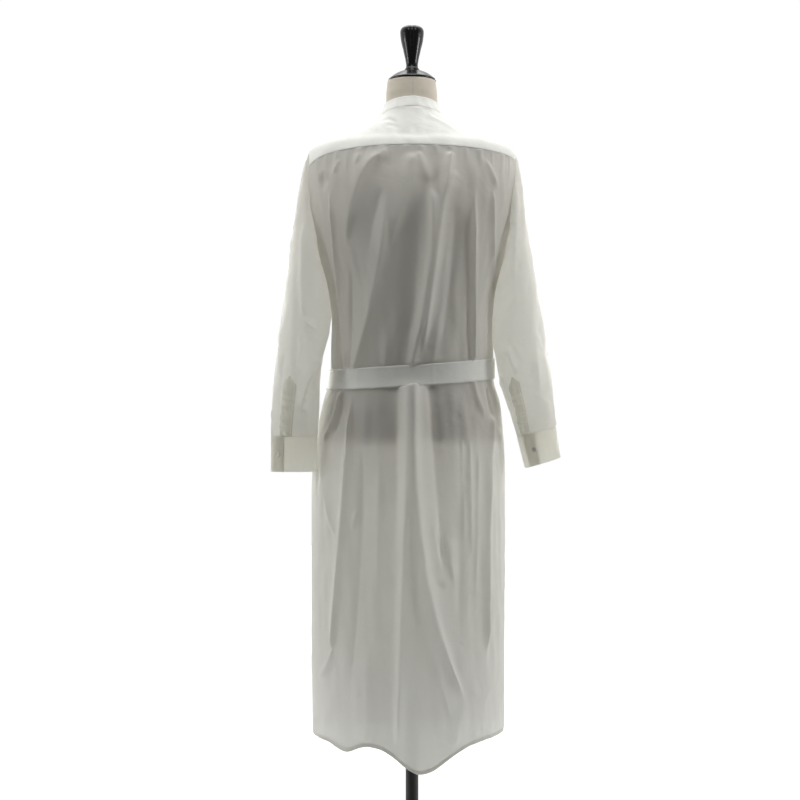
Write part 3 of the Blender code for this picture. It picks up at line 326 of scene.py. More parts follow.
def bowed(top, middle, low):
    """Values along a curve through three given ones."""
    share = np.linspace(0.0, 1.0, PATH_STEPS)
    return blend(top, low, share) + 4 * share * (1 - share) * (middle - (top + low) / 2)


def flat_path(crease):
    """A crease's line as points of (x, height), from top to bottom."""
    x = bowed(crease.x_top, crease.x_mid, crease.x_low)
    return np.stack([x, bowed(crease.z_top, crease.z_mid, crease.z_low)], axis=-1)


def crease_path(crease, at_back):
    """A crease's line as points of (distance round the body, height), from top to bottom."""
    x, height = flat_path(crease).T
    return np.stack([angle_at_x(x, height, at_back) * MEAN_RADIUS, height], axis=-1)


def ridge(u, v, path, crease, left_is_up):
    """How far one crease lifts each point (u, v) of a flat map of the cloth.

    left_is_up tells whether u grows towards the wearer's left.
    """
    reach = FLANK_REACH * max(crease.flank_left, crease.flank_right)
    lowest = path.min(0) - reach
    highest = path.max(0) + reach
    inside = (u > lowest[0]) & (u < highest[0]) & (v > lowest[1]) & (v < highest[1])
    lift = np.zeros(u.shape)
    if not inside.any():
        return lift
    spot = np.stack([u[inside], v[inside]], axis=-1)
    steps = np.diff(path, axis=0)
    lengths = np.linalg.norm(steps, axis=1)
    along_start = np.concatenate([[0.0], np.cumsum(lengths)])
    nearest = np.full(len(spot), np.inf)
    side = np.zeros(len(spot))
    along = np.zeros(len(spot))
    for start, step, length, travelled in zip(path, steps, lengths, along_start):
        away = spot - start
        share = np.clip(away @ step / length ** 2, 0.0, 1.0)
        distance = np.linalg.norm(away - share[:, None] * step, axis=1)
        closer = distance < nearest
        nearest = np.where(closer, distance, nearest)
        turn = step[0] * away[:, 1] - step[1] * away[:, 0]
        side = np.where(closer, turn, side)
        along = np.where(closer, travelled + share * length, along)
    flank = np.where((side > 0) == left_is_up, crease.flank_left, crease.flank_right)
    total = along_start[-1]
    left_over = total - along
    strength = 1.0
    taper = 1.0
    for distance, fade in ((along, crease.fade_top), (left_over, crease.fade_low)):
        strength = strength * ease(distance / (RISE_LENGTHS * fade))
        taper = taper * ease(distance / min(WIDEN_LENGTHS * fade, total / 2))
    flank = flank * FLANK_SCALE * blend(END_WIDTH, 1.0, taper)
    rounded = np.hypot(nearest, CREST_RADIUS) - CREST_RADIUS
    window = ease((reach - nearest) / (0.4 * reach))
    lift[inside] = crease.rise * strength * window * np.exp(-(rounded / flank) ** FLANK_POWER)
    return lift


def relief(u, v, creases, paths, left_is_up=True):
    """How far all the creases of a table lift the points of a flat map."""
    total = np.zeros(u.shape)
    for crease, path in zip(creases, paths):
        total += ridge(u, v, path, crease, left_is_up)
    return total


BACK_PATHS = [crease_path(crease, True) for crease in BACK_CREASES]
FRONT_PATHS = [crease_path(crease, False) for crease in FRONT_CREASES]


def crinkles(u, v, seed, count):
    """Short sharp wrinkles, uneven in place, length, lean and height."""
    random = np.random.default_rng(seed)
    low = (u.min(), v.min())
    high = (u.max(), v.max())
    share = np.linspace(-1.0, 1.0, 7)
    total = np.zeros(u.shape)
    for _ in range(count):
        middle = random.uniform(low, high)
        half = random.uniform(0.008, 0.034)
        heading = QUARTER + random.normal(0.0, 0.45)
        bend = random.uniform(-0.16, 0.16) * half
        along = np.array([math.cos(heading), math.sin(heading)])
        across = np.array([-along[1], along[0]])
        path = middle + share[:, None] * half * along + ((1 - share ** 2) * bend)[:, None] * across
        rise = random.uniform(0.0004, 0.0012) * random.choice([-1.0, 1.0])
        flanks = random.uniform(0.0022, 0.0034), random.uniform(0.003, 0.008)
        fade = half / 2.4
        wrinkle = Crease("crinkle", *[0.0] * 6, rise, *flanks, fade, fade)
        total += ridge(u, v, path, wrinkle, True)
    return total


def rumple(u, v, seed, size=0.0005, wave=0.030):
    """Faint unevenness of limp cloth: a few crossed waves of mixed lengths."""
    random = np.random.default_rng(seed)
    total = np.zeros(np.broadcast(u, v).shape)
    for _ in range(9):
        heading = random.uniform(-0.9, 0.9)
        length = wave * random.uniform(0.5, 2.2)
        phase = random.uniform(0.0, 2 * math.pi)
        total += np.sin((u * math.cos(heading) + 0.45 * v * math.sin(heading)) * 2 * math.pi / length + phase)
    return total * size / 3


# ---------------------------------------------------------------- seams and edges
WALL = 0.0015
LAP = WALL + 0.0003      # how far a layer lies outside the one that it laps over
BELT_WIDTH = 0.037
PLACKET_HALF = 0.0148
YOKE_BACK = 1.320
YOKE_END = {"left": 1.284, "right": 1.303}
YOKE_FRONT_TURN = math.radians(-42)
ARM_BOTTOM = 1.120
ARM_TOP = 1.3285
ARM_HALF_WIDTH = 0.054


def belt_middle(angle):
    """Height of the belt's middle line: it rides up towards the wearer's right side."""
    return 0.9030 - 0.0105 * np.cos(angle) - 0.0045 * np.sin(angle)


def yoke_seam(angle):
    """Height of the back yoke seam: it droops to the armholes, more on the left."""
    share = np.cos(angle)
    left = YOKE_BACK - 0.0190 * share ** 2 - 0.0220 * share ** 10
    right = YOKE_BACK - 0.0135 * share ** 2 - 0.0050 * share ** 10
    return np.where(share > 0, left, right)


def side_angle(offset_y, station, at_left):
    """The angle next to a side seam at which the hoop is offset_y from the seam."""
    values = hoop_values(station)
    reach = np.where(offset_y > 0, values[..., COLUMN["back"]], values[..., COLUMN["front"]])
    share = np.minimum(1.0, np.abs(offset_y) / reach)
    angle = np.sign(offset_y) * np.arcsin(share ** (values[..., COLUMN["corner"]] / 2))
    return angle if at_left else math.pi - angle


def armhole(turn, side):
    """A point of the armhole as (angle, height). Turn 0 is the shoulder tip, a quarter is behind."""
    turn = np.asarray(turn, float)
    height = ARM_BOTTOM + (ARM_TOP - ARM_BOTTOM) * (1 + np.cos(turn)) / 2
    offset_y = ARM_HALF_WIDTH * signed_power(np.sin(turn), 0.92)
    at_left = side == "left"
    angle = np.zeros(turn.shape) if at_left else np.full(turn.shape, math.pi)
    for _ in range(10):
        angle = side_angle(offset_y, station_at(angle, height), at_left)
    return angle, height


def turn_at_height(height):
    return np.arccos(2 * (height - ARM_BOTTOM) / (ARM_TOP - ARM_BOTTOM) - 1)


def back_yoke_turn(side):
    """The armhole turn at which the back yoke seam reaches the armhole."""
    turn = turn_at_height(YOKE_END[side])
    for _ in range(16):
        turn = turn_at_height(yoke_seam(armhole(turn, side)[0]))
    return float(turn)


BACK_TURN = {side: back_yoke_turn(side) for side in SIDES}


def hem(angle):
    """Height of the hem: a shirt tail with a narrow tongue at the back and a sag beside it."""
    share = np.cos(angle)
    sides = 0.2305 - 0.003 * share
    from_tongue = share + 0.08
    tongue = np.exp(-(from_tongue / np.where(from_tongue > 0, 0.25, 0.355)) ** 2)
    sag = np.exp(-((share - 0.63) / 0.13) ** 2)
    back = sides - 0.050 * tongue - 0.014 * sag
    return np.where(np.sin(angle) > 0, back, sides - 0.020 * (1 - share * share))


COVER = 0.0016           # the cloth stays this far outside the form


def form_inset(angle, station):
    """How far the form lies inside the tube."""
    values = hoop_values(station)
    deep = np.sin(angle)
    end = np.where(deep > 0, values[..., COLUMN["in_back"]], values[..., COLUMN["in_front"]])
    return blend(values[..., COLUMN["in_side"]], end, deep * deep)


def clear_of_form(angle, height, out):
    """Troughs settle softly on the form instead of passing into it."""
    lowest = COVER - form_inset(angle, station_at(angle, height))
    lowest = np.where(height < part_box("torso")[0].z - 0.004, -0.05, lowest)
    softness = 0.0006
    return lowest + softness * np.logaddexp(0.0, (out - lowest) / softness)


def pressed(angle, height):
    """0 under the belt, which presses the folds flat, and 1 away from it."""
    return ease((np.abs(height - belt_middle(angle)) - BELT_WIDTH / 2 + 0.0015) / 0.006)


# ---------------------------------------------------------------- mesh tools
def attach(thing, slot_name, *replaced):
    """A finished piece rides on the one body and stands for its solids."""
    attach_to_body(thing, "root")
    if replaced:
        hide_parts(*replaced)
    return thing


def cloth(name, thing):
    """A finished piece of cloth that stands for the solid of the same name."""
    return attach(thing, "cloth", name)


def as_worn(points, side):
    """A grid made for the left side keeps its columns turning left on the right side too."""
    return points if side == "left" else points[:, ::-1]


def new_object(name, mesh, material):
    mesh.materials.append(material)
    mesh.shade_smooth()
    thing = bpy.data.objects.new(name, mesh)
    bpy.context.scene.collection.objects.link(thing)
    return thing


def grid_object(name, points, material, closed=False, caps=False):
    """A mesh of quads through a grid of points, with its cut size in metres as its UV map."""
    rows, columns = points.shape[:2]
    index = np.arange(rows * columns).reshape(rows, columns)
    ring = np.concatenate([points, points[:, :1]], axis=1) if closed else points
    if closed:
        index = np.concatenate([index, index[:, :1]], axis=1)
    quads = np.stack([index[:-1, :-1], index[:-1, 1:], index[1:, 1:], index[1:, :-1]], axis=-1)
    quads = quads.reshape(-1, 4)
    faces = quads.tolist()
    if caps:
        faces += [index[0, ::-1].tolist()[closed:], index[-1].tolist()[: columns]]
    mesh = bpy.data.meshes.new("fine_" + name)
    mesh.from_pydata(points.reshape(-1, 3).tolist(), [], faces)
    across = np.linalg.norm(np.diff(ring, axis=1), axis=-1).mean(0)
    along = np.linalg.norm(np.diff(ring, axis=0), axis=-1).mean(1)
    u = np.concatenate([[0.0], np.cumsum(across)])
    v = np.concatenate([[0.0], np.cumsum(along)])
    grid = np.stack(np.meshgrid(u, v), axis=-1)
    corners = np.stack([grid[:-1, :-1], grid[:-1, 1:], grid[1:, 1:], grid[1:, :-1]], axis=2)
    layer = mesh.uv_layers.new(name="cut")
    values = np.zeros((len(mesh.loops), 2), np.float32)
    values[: len(quads) * 4] = corners.reshape(-1, 2)
    layer.data.foreach_set("uv", values.ravel())
    return new_object("fine_" + name, mesh, material)


def surface_normals(points, closed=False):
    """The outward direction at each point of a grid whose rows run up and whose columns turn left."""
    if closed:
        wide = np.concatenate([points[:, -1:], points, points[:, :1]], axis=1)
        round_about = wide[:, 2:] - wide[:, :-2]
    else:
        round_about = np.gradient(points, axis=1)
    upward = np.gradient(points, axis=0)
    return unit(np.cross(round_about, upward))


def turned_edge(points, depth, thick):
    """Rows for a hem at a grid's first row: the cloth turned inside by depth, rolled at its edge."""
    normals = surface_normals(points)
    edge = points[0]
    inward = normals[0] * thick
    upward = unit(points[2] - points[0])
    inner_top = edge + upward * depth - inward
    inner_low = edge + upward * thick * 0.4 - inward
    roll = edge - upward * thick * 0.3 - inward * 0.5
    return np.concatenate([np.stack([inner_top, inner_low, roll]), points], axis=0)


# ---------------------------------------------------------------- materials
def new_material(name):
    material = bpy.data.materials.new(name)
    material.use_nodes = True
    nodes = material.node_tree.nodes
    return material, nodes, material.node_tree.links, nodes["Principled BSDF"]


def set_inputs(node, **inputs):
    for label, value in inputs.items():
        node.inputs[label.replace("_", " ")].default_value = value


def add_node(nodes, kind, settings=(), **inputs):
    node = nodes.new(kind)
    for field, value in dict(settings).items():
        setattr(node, field, value)
    set_inputs(node, **inputs)
    return node


def object_noise(nodes, links, **inputs):
    """Noise fixed to the piece itself."""
    coords = nodes.new("ShaderNodeTexCoord")
    noise = add_node(nodes, "ShaderNodeTexNoise", **inputs)
    links.new(coords.outputs["Object"], noise.inputs["Vector"])
    return noise.outputs["Fac"]


def weave_height(nodes, links, scale):
    """A plain weave: two crossed sets of waves over the cloth's cut size."""
    coords = nodes.new("ShaderNodeTexCoord")
    cross = add_node(nodes, "ShaderNodeMath", {"operation": "MULTIPLY"})
    for index, axis in enumerate("XY"):
        wave = add_node(nodes, "ShaderNodeTexWave", {"bands_direction": axis}, Scale=scale, Distortion=0.4)
        links.new(coords.outputs["UV"], wave.inputs["Vector"])
        links.new(wave.outputs["Fac"], cross.inputs[index])
    return cross.outputs[0]


def bumped(nodes, links, height, strength, distance, under=None):
    """The surface's direction after a bump, laid over an earlier one if given."""
    bump = add_node(nodes, "ShaderNodeBump", Strength=strength, Distance=distance)
    links.new(height, bump.inputs["Height"])
    if under is not None:
        links.new(under, bump.inputs["Normal"])
    return bump.outputs["Normal"]


def painted(name, pale, deep, scale, **finish):
    """A material whose colour drifts between two close shades over the piece."""
    material, nodes, links, shader = new_material(name)
    mix = add_node(nodes, "ShaderNodeMix", {"data_type": "RGBA"}, A=(*pale, 1.0), B=(*deep, 1.0))
    noise = object_noise(nodes, links, Scale=scale, Detail=5.0, Roughness=0.6)
    links.new(noise, mix.inputs["Factor"])
    links.new(mix.outputs["Result"], shader.inputs["Base Color"])
    set_inputs(shader, **finish)
    return material, nodes, links, shader


def mixed(nodes, links, share, first, second):
    """Two shaders mixed by a share of the second."""
    mix = add_node(nodes, "ShaderNodeMixShader", Fac=share)
    links.new(first, mix.inputs[1])
    links.new(second, mix.inputs[2])
    return mix.outputs[0]


def cotton(name, glow, clear, white=0.80):
    """Thin white cotton: glow is the share of light it scatters through, clear the share it lets by."""
    pale = (white, white, white * 0.955)
    deep = (white * 0.95, white * 0.945, white * 0.895)
    material, nodes, links, shader = painted(
        name, pale, deep, 14.0,
        Roughness=0.82, Specular_IOR_Level=0.25, Sheen_Weight=0.12, Sheen_Roughness=0.5,
    )
    crumple = object_noise(nodes, links, Scale=22.0, Detail=3.0, Roughness=0.5, Distortion=0.5)
    limp = bumped(nodes, links, crumple, 1.0, 0.0020)
    woven = bumped(nodes, links, weave_height(nodes, links, 420.0), 0.25, 0.0002, limp)
    through = add_node(nodes, "ShaderNodeBsdfTranslucent", Color=(0.88, 0.875, 0.84, 1.0))
    for lit in (shader, through):
        links.new(woven, lit.inputs["Normal"])
    gaps = add_node(nodes, "ShaderNodeBsdfTransparent", Color=(1.0, 1.0, 0.98, 1.0))
    scatter = mixed(nodes, links, glow, shader.outputs[0], through.outputs[0])
    sight = mixed(nodes, links, clear, scatter, gaps.outputs[0])
    links.new(sight, nodes["Material Output"].inputs["Surface"])
    return material


def linen():
    """The form's natural cover: a coarse plain weave, uneven in colour."""
    material, nodes, links, shader = painted(
        "form_linen", (0.70, 0.645, 0.55), (0.60, 0.55, 0.46), 60.0,
        Roughness=0.92, Specular_IOR_Level=0.2,
    )
    woven = bumped(nodes, links, weave_height(nodes, links, 190.0), 0.5, 0.0005)
    links.new(woven, shader.inputs["Normal"])
    return material


def lacquer():
    """Gloss black lacquer over turned wood, with a faint swell under the coat."""
    material, nodes, links, shader = painted(
        "black_lacquer", (0.010, 0.010, 0.011), (0.006, 0.006, 0.007), 30.0,
        Roughness=0.22, Specular_IOR_Level=0.35, Coat_Weight=0.15, Coat_Roughness=0.08,
    )
    swell = object_noise(nodes, links, Scale=45.0, Detail=2.0)
    links.new(bumped(nodes, links, swell, 0.12, 0.0005), shader.inputs["Normal"])
    return material


def enamel():
    """Black enamelled steel with a fine orange peel and uneven gloss."""
    material, nodes, links, shader = painted(
        "black_steel", (0.016, 0.016, 0.016), (0.028, 0.027, 0.026), 80.0, Metallic=0.3,
    )
    peel = object_noise(nodes, links, Scale=260.0, Detail=3.0)
    span = add_node(nodes, "ShaderNodeMapRange", To_Min=0.30, To_Max=0.45)
    links.new(peel, span.inputs["Value"])
    links.new(span.outputs["Result"], shader.inputs["Roughness"])
    links.new(bumped(nodes, links, peel, 0.15, 0.0003), shader.inputs["Normal"])
    return material


def pearl():
    """Pale button resin, softly clouded."""
    pale, deep = (0.95, 0.94, 0.90), (0.86, 0.85, 0.82)
    return painted("pearl_button", pale, deep, 220.0, Roughness=0.22, Coat_Weight=0.3)[0]


def thread():
    """White sewing thread: a fine mottle, dull with a little sheen."""
    pale, deep = (0.84, 0.835, 0.80), (0.76, 0.75, 0.71)
    return painted("thread", pale, deep, 300.0, Roughness=0.6, Sheen_Weight=0.2)[0]


SINGLE = cotton("cotton_single", 0.44, 0.03)
DOUBLE = cotton("cotton_double", 0.05, 0.0, 0.90)
CUFF = cotton("cotton_cuff", 0.76, 0.07, 0.92)
STRIP = cotton("cotton_strip", 0.76, 0.40, 0.92)
LINEN = linen()
LACQUER = lacquer()
ENAMEL = enamel()
PEARL = pearl()
THREAD = thread()


# ---------------------------------------------------------------- body panels
SEAM_RISE = 0.0008       # a felled seam stands this proud of the cloth
FOLD_DEPTH = 1.4
FREE_EDGE = 0.010        # creases fade out this close to a seam
BACK_COLUMNS = 240
LOWER_ROWS = 200
UPPER_ROWS = 96
FRONT_COLUMNS = 110
HEM_TURN = 0.007
CLOTH_THICK = 0.0007


def seam_ridge(distance, half=0.0028):
    return SEAM_RISE * np.exp(-(distance / half) ** 4)


GATHERS = 19
GATHER_MARGIN = 0.30     # from the side lines, as an angle
GATHER_WIDTH = (0.0026, 0.0052)
GATHER_FALL = (0.025, 0.080)
GATHER_RISE = (0.0012, 0.0030)


def gathers(angle, height):
    """Small uneven puckers below the back yoke seam, that lean towards its middle."""
    drop = yoke_seam(angle) - height
    total = np.zeros(np.shape(angle))
    for index in range(GATHERS):
        wander = math.sin(index * 12.9898) * 0.5 + 0.5
        again = math.sin(index * 78.233) * 0.5 + 0.5
        share = (index + 0.5 + 1.1 * (wander - 0.5)) / GATHERS
        place = blend(GATHER_MARGIN, math.pi - GATHER_MARGIN, share)
        half = blend(*GATHER_WIDTH, again)
        fall = blend(*GATHER_FALL, wander)
        lean = (QUARTER - place) * 0.25
        distance = (angle - place - lean * drop / MEAN_RADIUS) * MEAN_RADIUS
        total += blend(*GATHER_RISE, again) * np.exp(-(distance / half) ** 2) * (1 - ease(drop / fall))
    return total * ease(drop / 0.003)


def back_relief(angle, height, inside):
    """All that lifts the back off the smooth tube. inside is the distance to its side edges."""
    u = angle * MEAN_RADIUS
    lift = FOLD_DEPTH * relief(u, height, BACK_CREASES, BACK_PATHS, left_is_up=False)
    lift += rumple(u, height, 3) + crinkles(u, height, 5, 130)
    free = ease(inside / FREE_EDGE) * ease((yoke_seam(angle) - height) / 0.012)
    return lift * free * pressed(angle, height) + gathers(angle, height) * ease(inside / FREE_EDGE)


def back_grid():
    """Angles and heights of the back, from the hem up to the yoke seam."""
    share = np.linspace(0.0, 1.0, BACK_COLUMNS + 1)
    low_angle = np.tile(share * math.pi, (LOWER_ROWS, 1))
    climb = (np.arange(LOWER_ROWS) / LOWER_ROWS)[:, None]
    low_height = blend(hem(low_angle), ARM_BOTTOM, climb)
    angles = []
    heights = []
    for progress in np.linspace(0.0, 1.0, UPPER_ROWS):
        ends = [armhole(blend(math.pi, BACK_TURN[side], progress), side) for side in SIDES]
        (left_angle, left_height), (right_angle, right_height) = ends
        angle = blend(left_angle, right_angle, share)
        seam_ends = blend(yoke_seam(left_angle), yoke_seam(right_angle), share)
        height = blend(left_height, right_height, share) + (yoke_seam(angle) - seam_ends) * progress ** 2
        angles.append(angle)
        heights.append(height)
    return np.concatenate([low_angle, angles]), np.concatenate([low_height, heights])


def back_point(angle, height, edge, out=0.0):
    """Points of the finished back. edge is the distance to its side edges."""
    lift = clear_of_form(angle, height, back_relief(angle, height, edge))
    return on_tube(angle, height, lift + seam_ridge(edge) + out)


def back_panel():
    angle, height = back_grid()
    edge = np.minimum(angle - angle[:, :1], angle[:, -1:] - angle) * MEAN_RADIUS
    points = turned_edge(back_point(angle, height, edge), HEM_TURN, CLOTH_THICK)
    return cloth("back", grid_object("back", points, SINGLE))


def mirrored(angle, at_left):
    return angle if at_left else -math.pi - angle


def front_edge(height, at_left):
    """The angle of the front edge, counted on this side from the side seam at 0."""
    x = -PLACKET_HALF + 0.002
    if at_left:
        return angle_at_x(x, height, False)
    return -math.pi - angle_at_x(-x, height, False)


def front_grid(side):
    """Angles (counted on this side) and heights of a front, from the hem up to the neck."""
    at_left = side == "left"
    share = np.linspace(0.0, 1.0, FRONT_COLUMNS + 1)
    climb = (np.arange(LOWER_ROWS) / LOWER_ROWS)[:, None]
    guide = mirrored(blend(-QUARTER, 0.0, share), at_left)
    low_height = blend(hem(guide), ARM_BOTTOM, climb)
    low_angle = blend(front_edge(low_height[:, 0], at_left)[:, None], 0.0, share)
    corner_angle, corner_height = armhole(YOKE_FRONT_TURN, side)
    corner_angle = own_side(corner_angle, at_left)
    centre_height = corner_height - 0.016
    angles = [low_angle]
    heights = [low_height]
    for progress in np.linspace(0.0, 1.0, UPPER_ROWS // 2):
        arm_angle, arm_height = armhole(blend(-math.pi, YOKE_FRONT_TURN, progress), side)
        centre = blend(ARM_BOTTOM, centre_height, progress)
        start = front_edge(centre, at_left)
        angles.append(blend(start, own_side(arm_angle, at_left), share)[None])
        heights.append(blend(centre, arm_height, share ** 1.5)[None])
    start_low = front_edge(centre_height, at_left)
    start_top = front_edge(HOOPS[STATION["neck"]].z_front, at_left)
    low_ray = blend(start_low, corner_angle, share)
    high_ray = blend(start_top, corner_angle, share)
    low_station = station_at(mirrored(low_ray, at_left), blend(centre_height, corner_height, share ** 1.5))
    for progress in np.linspace(0.0, 1.0, UPPER_ROWS // 2)[1:]:
        angle = blend(low_ray, high_ray, progress)
        station = blend(low_station, STATION["neck"], progress)
        angles.append(angle[None])
        heights.append(tube(mirrored(angle, at_left), station)[..., 2][None])
    return np.concatenate(angles), np.concatenate(heights)


def own_side(angle, at_left):
    """An armhole's angle as it is counted on its own front: 0 at the side seam, below 0 in front."""
    angle = angle if at_left else math.pi - angle
    return angle if angle < 1 else angle - 2 * math.pi


def front_point(angle, height, edge, calm=1.0, out=0.0):
    """Points of the finished fronts. edge is the distance to the side edge, calm 0 at the top."""
    u = angle * MEAN_RADIUS
    lift = FOLD_DEPTH * relief(u, height, FRONT_CREASES, FRONT_PATHS) + rumple(u, height, 11)
    if np.ndim(u) == 2:
        lift = lift + crinkles(u, height, 12, 60)
    middle = np.abs(angle + QUARTER) * MEAN_RADIUS
    lift = lift * ease(edge / FREE_EDGE) * ease((middle - 0.016) / 0.014) * calm
    raised = clear_of_form(angle, height, lift * pressed(angle, height)) + seam_ridge(edge)
    x = tube(angle, station_at(angle, height))[..., 0]
    under = LAP * (1 - ease((x - 0.018) / 0.030)) * (x > -0.018)
    return on_tube(angle, height, raised - under + out)


def front_panel(side):
    at_left = side == "left"
    own, height = front_grid(side)
    edge = (own[:, -1:] - own) * MEAN_RADIUS
    calm = ease((len(own) - 1 - np.arange(len(own))) / 8)[:, None]
    points = as_worn(front_point(mirrored(own, at_left), height, edge, calm), side)
    points = turned_edge(points, HEM_TURN, CLOTH_THICK)
    name = "front_" + side
    return cloth(name, grid_object(name, points, SINGLE))


YOKE_ROWS = 56
YOKE_LIFT = 0.0009       # the yoke's edge lies over the panels below it


def yoke_panel():
    """The yoke, from its seams and armholes up to the neck."""
    ends = {side: armhole(BACK_TURN[side], side)[0] for side in SIDES}
    left_turn = np.linspace(YOKE_FRONT_TURN, BACK_TURN["left"], 50)[:-1]
    right_turn = np.linspace(BACK_TURN["right"], YOKE_FRONT_TURN, 50)[1:]
    seam_angle = np.linspace(ends["left"], ends["right"], 150)
    left = armhole(left_turn, "left")
    right = armhole(right_turn, "right")
    angle = np.concatenate([left[0], seam_angle, right[0]])
    height = np.concatenate([left[1], yoke_seam(seam_angle), right[1]])
    on_seam = np.concatenate([np.zeros(49), np.ones(150), np.zeros(49)])
    low = station_at(angle, height - 0.0010 * on_seam)
    climb = np.linspace(0.0, 1.0, YOKE_ROWS)[:, None]
    station = blend(low, STATION["neck"], climb)
    angles = np.tile(angle, (YOKE_ROWS, 1))
    base = tube(angles, station)
    calm = ease(climb / 0.10) * ease((1 - climb) / 0.08)
    rise = YOKE_LIFT + yoke_wrinkles(base) * calm
    points = base + tube_normal(angles, station) * rise[..., None]
    normals = tube_normal(angle, low)
    under = tube(angle, low) - normals * 0.0002
    points = np.concatenate([under[None], points])
    return cloth("yoke", grid_object("yoke", points, DOUBLE))


# Small strains round the collar, in millimetres: x and height of three points, rise, half width.
Strain = namedtuple("Strain", "x_first z_first x_mid z_mid x_last z_last rise half")
YOKE_STRAINS = in_metres(Strain, [
    (62, 1371, 44, 1375.6, 26, 1364, -2.2, 3.5),
    (50, 1362, 36, 1361, 22, 1352, -1.4, 4),
    (-28, 1384, -58, 1367, -88, 1349, 2.5, 4.5),
    (-35, 1384, -61, 1375, -88, 1362, -2.5, 3),
    (-3, 1362, -6, 1350, -12, 1336, -1, 8),
    (34, 1343.5, -4, 1338, -43, 1341, -1.2, 6),
    (90, 1350, 120, 1336, 150, 1326, 1.2, 6),
    (-100, 1345, -130, 1333, -165, 1322, 1.2, 6),
])


def yoke_wrinkles(base):
    total = rumple(base[..., 0] * 1.3, base[..., 2] * 1.6 + base[..., 1], 21, 0.0005, 0.050)
    spot = base[..., [0, 2]]
    behind = ease(base[..., 1] / 0.02)
    for strain in YOKE_STRAINS:
        points = np.array(strain[:6]).reshape(3, 2)
        distance = np.full(spot.shape[:2], np.inf)
        along = np.zeros(spot.shape[:2])
        for index in range(2):
            step = points[index + 1] - points[index]
            away = spot - points[index]
            share = np.clip(away @ step / (step @ step), 0.0, 1.0)
            reach = np.linalg.norm(away - share[..., None] * step, axis=-1)
            along = np.where(reach < distance, (index + share) / 2, along)
            distance = np.minimum(distance, reach)
        total += strain.rise * behind * np.exp(-(distance / strain.half) ** 1.8) * np.sin(math.pi * along)
    return total


# ---------------------------------------------------------------- double-layer bands
def band(name, outer, material, thick, closed=False):
    """A flat band of two layers: outer rows run from its lower to its upper edge, edges rounded."""
    normals = surface_normals(outer, closed)
    inner = outer - normals * thick
    upward = unit(outer[-1] - outer[0])
    low_roll = (outer[0] + inner[0]) / 2 - upward * thick * 0.5
    high_roll = (outer[-1] + inner[-1]) / 2 + upward * thick * 0.5
    rows = np.concatenate([outer, high_roll[None], inner[::-1], low_roll[None], outer[:1]])
    if closed:
        return merged(grid_object(name, rows, material, closed=True))
    start, finish = (end_cap((outer[:, end] + inner[:, end]) / 2, len(rows)) for end in (0, -1))
    return merged(grid_object(name, np.concatenate([start, rows, finish], axis=1), material))


def end_cap(middle, count):
    """A column that closes a band's end: the middle of its wall, up and down again."""
    rows = len(middle)
    order = list(range(rows)) + [rows - 1] + list(range(rows - 1, -1, -1)) + [0, 0]
    return middle[order][:count, None]


def merged(thing):
    """Joins the points that meet, so that the piece is one closed skin."""
    bm = bmesh.new()
    bm.from_mesh(thing.data)
    bmesh.ops.remove_doubles(bm, verts=bm.verts, dist=0.00001)
    bmesh.ops.dissolve_degenerate(bm, edges=bm.edges, dist=0.00001)
    bm.to_mesh(thing.data)
    bm.free()
    thing.data.shade_smooth()
    return thing


COLLAR_LOW = -0.02       # where the band starts and ends, in hoops above the neck hoop
COLLAR_HIGH = 0.98
COLLAR_START = float(angle_at_x(-PLACKET_HALF + 0.002, 1.36, False))
COLLAR_END = 2 * math.pi + float(angle_at_x(PLACKET_HALF - 0.002, 1.36, False))


def collar_point(share, climb, out=0.0):
    """Points of the collar band: share runs round the neck, climb from its lower to upper edge."""
    share, climb = np.broadcast_arrays(share, climb)
    angle = blend(COLLAR_START, COLLAR_END, share)
    station = STATION["neck"] + blend(COLLAR_LOW, COLLAR_HIGH, climb)
    under = LAP * (1 - ease((share - 0.05) / 0.08))
    loose = rumple(angle * 0.05, climb * 0.02, 31, 0.0003, 0.02)
    lift = 0.0012 - under + loose + out
    return tube(angle, station) + tube_normal(angle, station) * lift[..., None]


def collar_band():
    outer = collar_point(np.linspace(0.0, 1.0, 151), np.linspace(0.0, 1.0, 14)[:, None])
    return cloth("collar_band", band("collar_band", outer, DOUBLE, 0.0012))


PLACKET_TOP = HOOPS[STATION["neck"]].z_front - 0.0012
PLACKET_LOW = float(hem(-QUARTER)) + 0.0002


def strip_point(x, height, out=0.0):
    """Points of the front button strip."""
    x, height = np.broadcast_arrays(x, height)
    pucker = 0.00025 * np.sin(height * 2 * math.pi / 0.011) * (np.abs(x) / PLACKET_HALF) ** 4
    return on_tube(angle_at_x(x, height, False), height, 0.0016 + pucker + out)


def front_placket():
    across = np.linspace(-PLACKET_HALF, PLACKET_HALF, 13)
    outer = strip_point(across, np.linspace(PLACKET_LOW, PLACKET_TOP, 300)[:, None])
    return cloth("front_placket", band("front_placket", outer, DOUBLE, 0.0011))


BELT_JOINS = (0.099, -0.038)     # x of the belt's two cross seams on the back


def belt_seams(angle):
    total = np.zeros(angle.shape)
    for x in BELT_JOINS:
        place = float(angle_at_x(x, 0.90, True))
        total += 0.0005 * np.exp(-((angle - place) * MEAN_RADIUS / 0.0020) ** 4)
    return total


def belt_point(angle, lift, out=0.0):
    """Points of the belt's outer face: lift counts up from its middle line."""
    angle, lift = np.broadcast_arrays(angle, lift)
    middle = belt_middle(angle)
    outward = tube_normal(angle, station_at(angle, middle))
    outward[..., 2] = 0.0
    over_strip = 0.0013 * ease((-np.sin(angle) - 0.90) / 0.06)
    edge = (lift / (BELT_WIDTH / 2)) ** 2
    crumple = 0.0005 * np.sin(angle * 23 + 1.3 * np.sin(angle * 5)) * edge
    raised = 0.0030 + over_strip + crumple + belt_seams(angle) + out
    return tube(angle, station_at(angle, middle + lift)) + unit(outward) * raised[..., None]


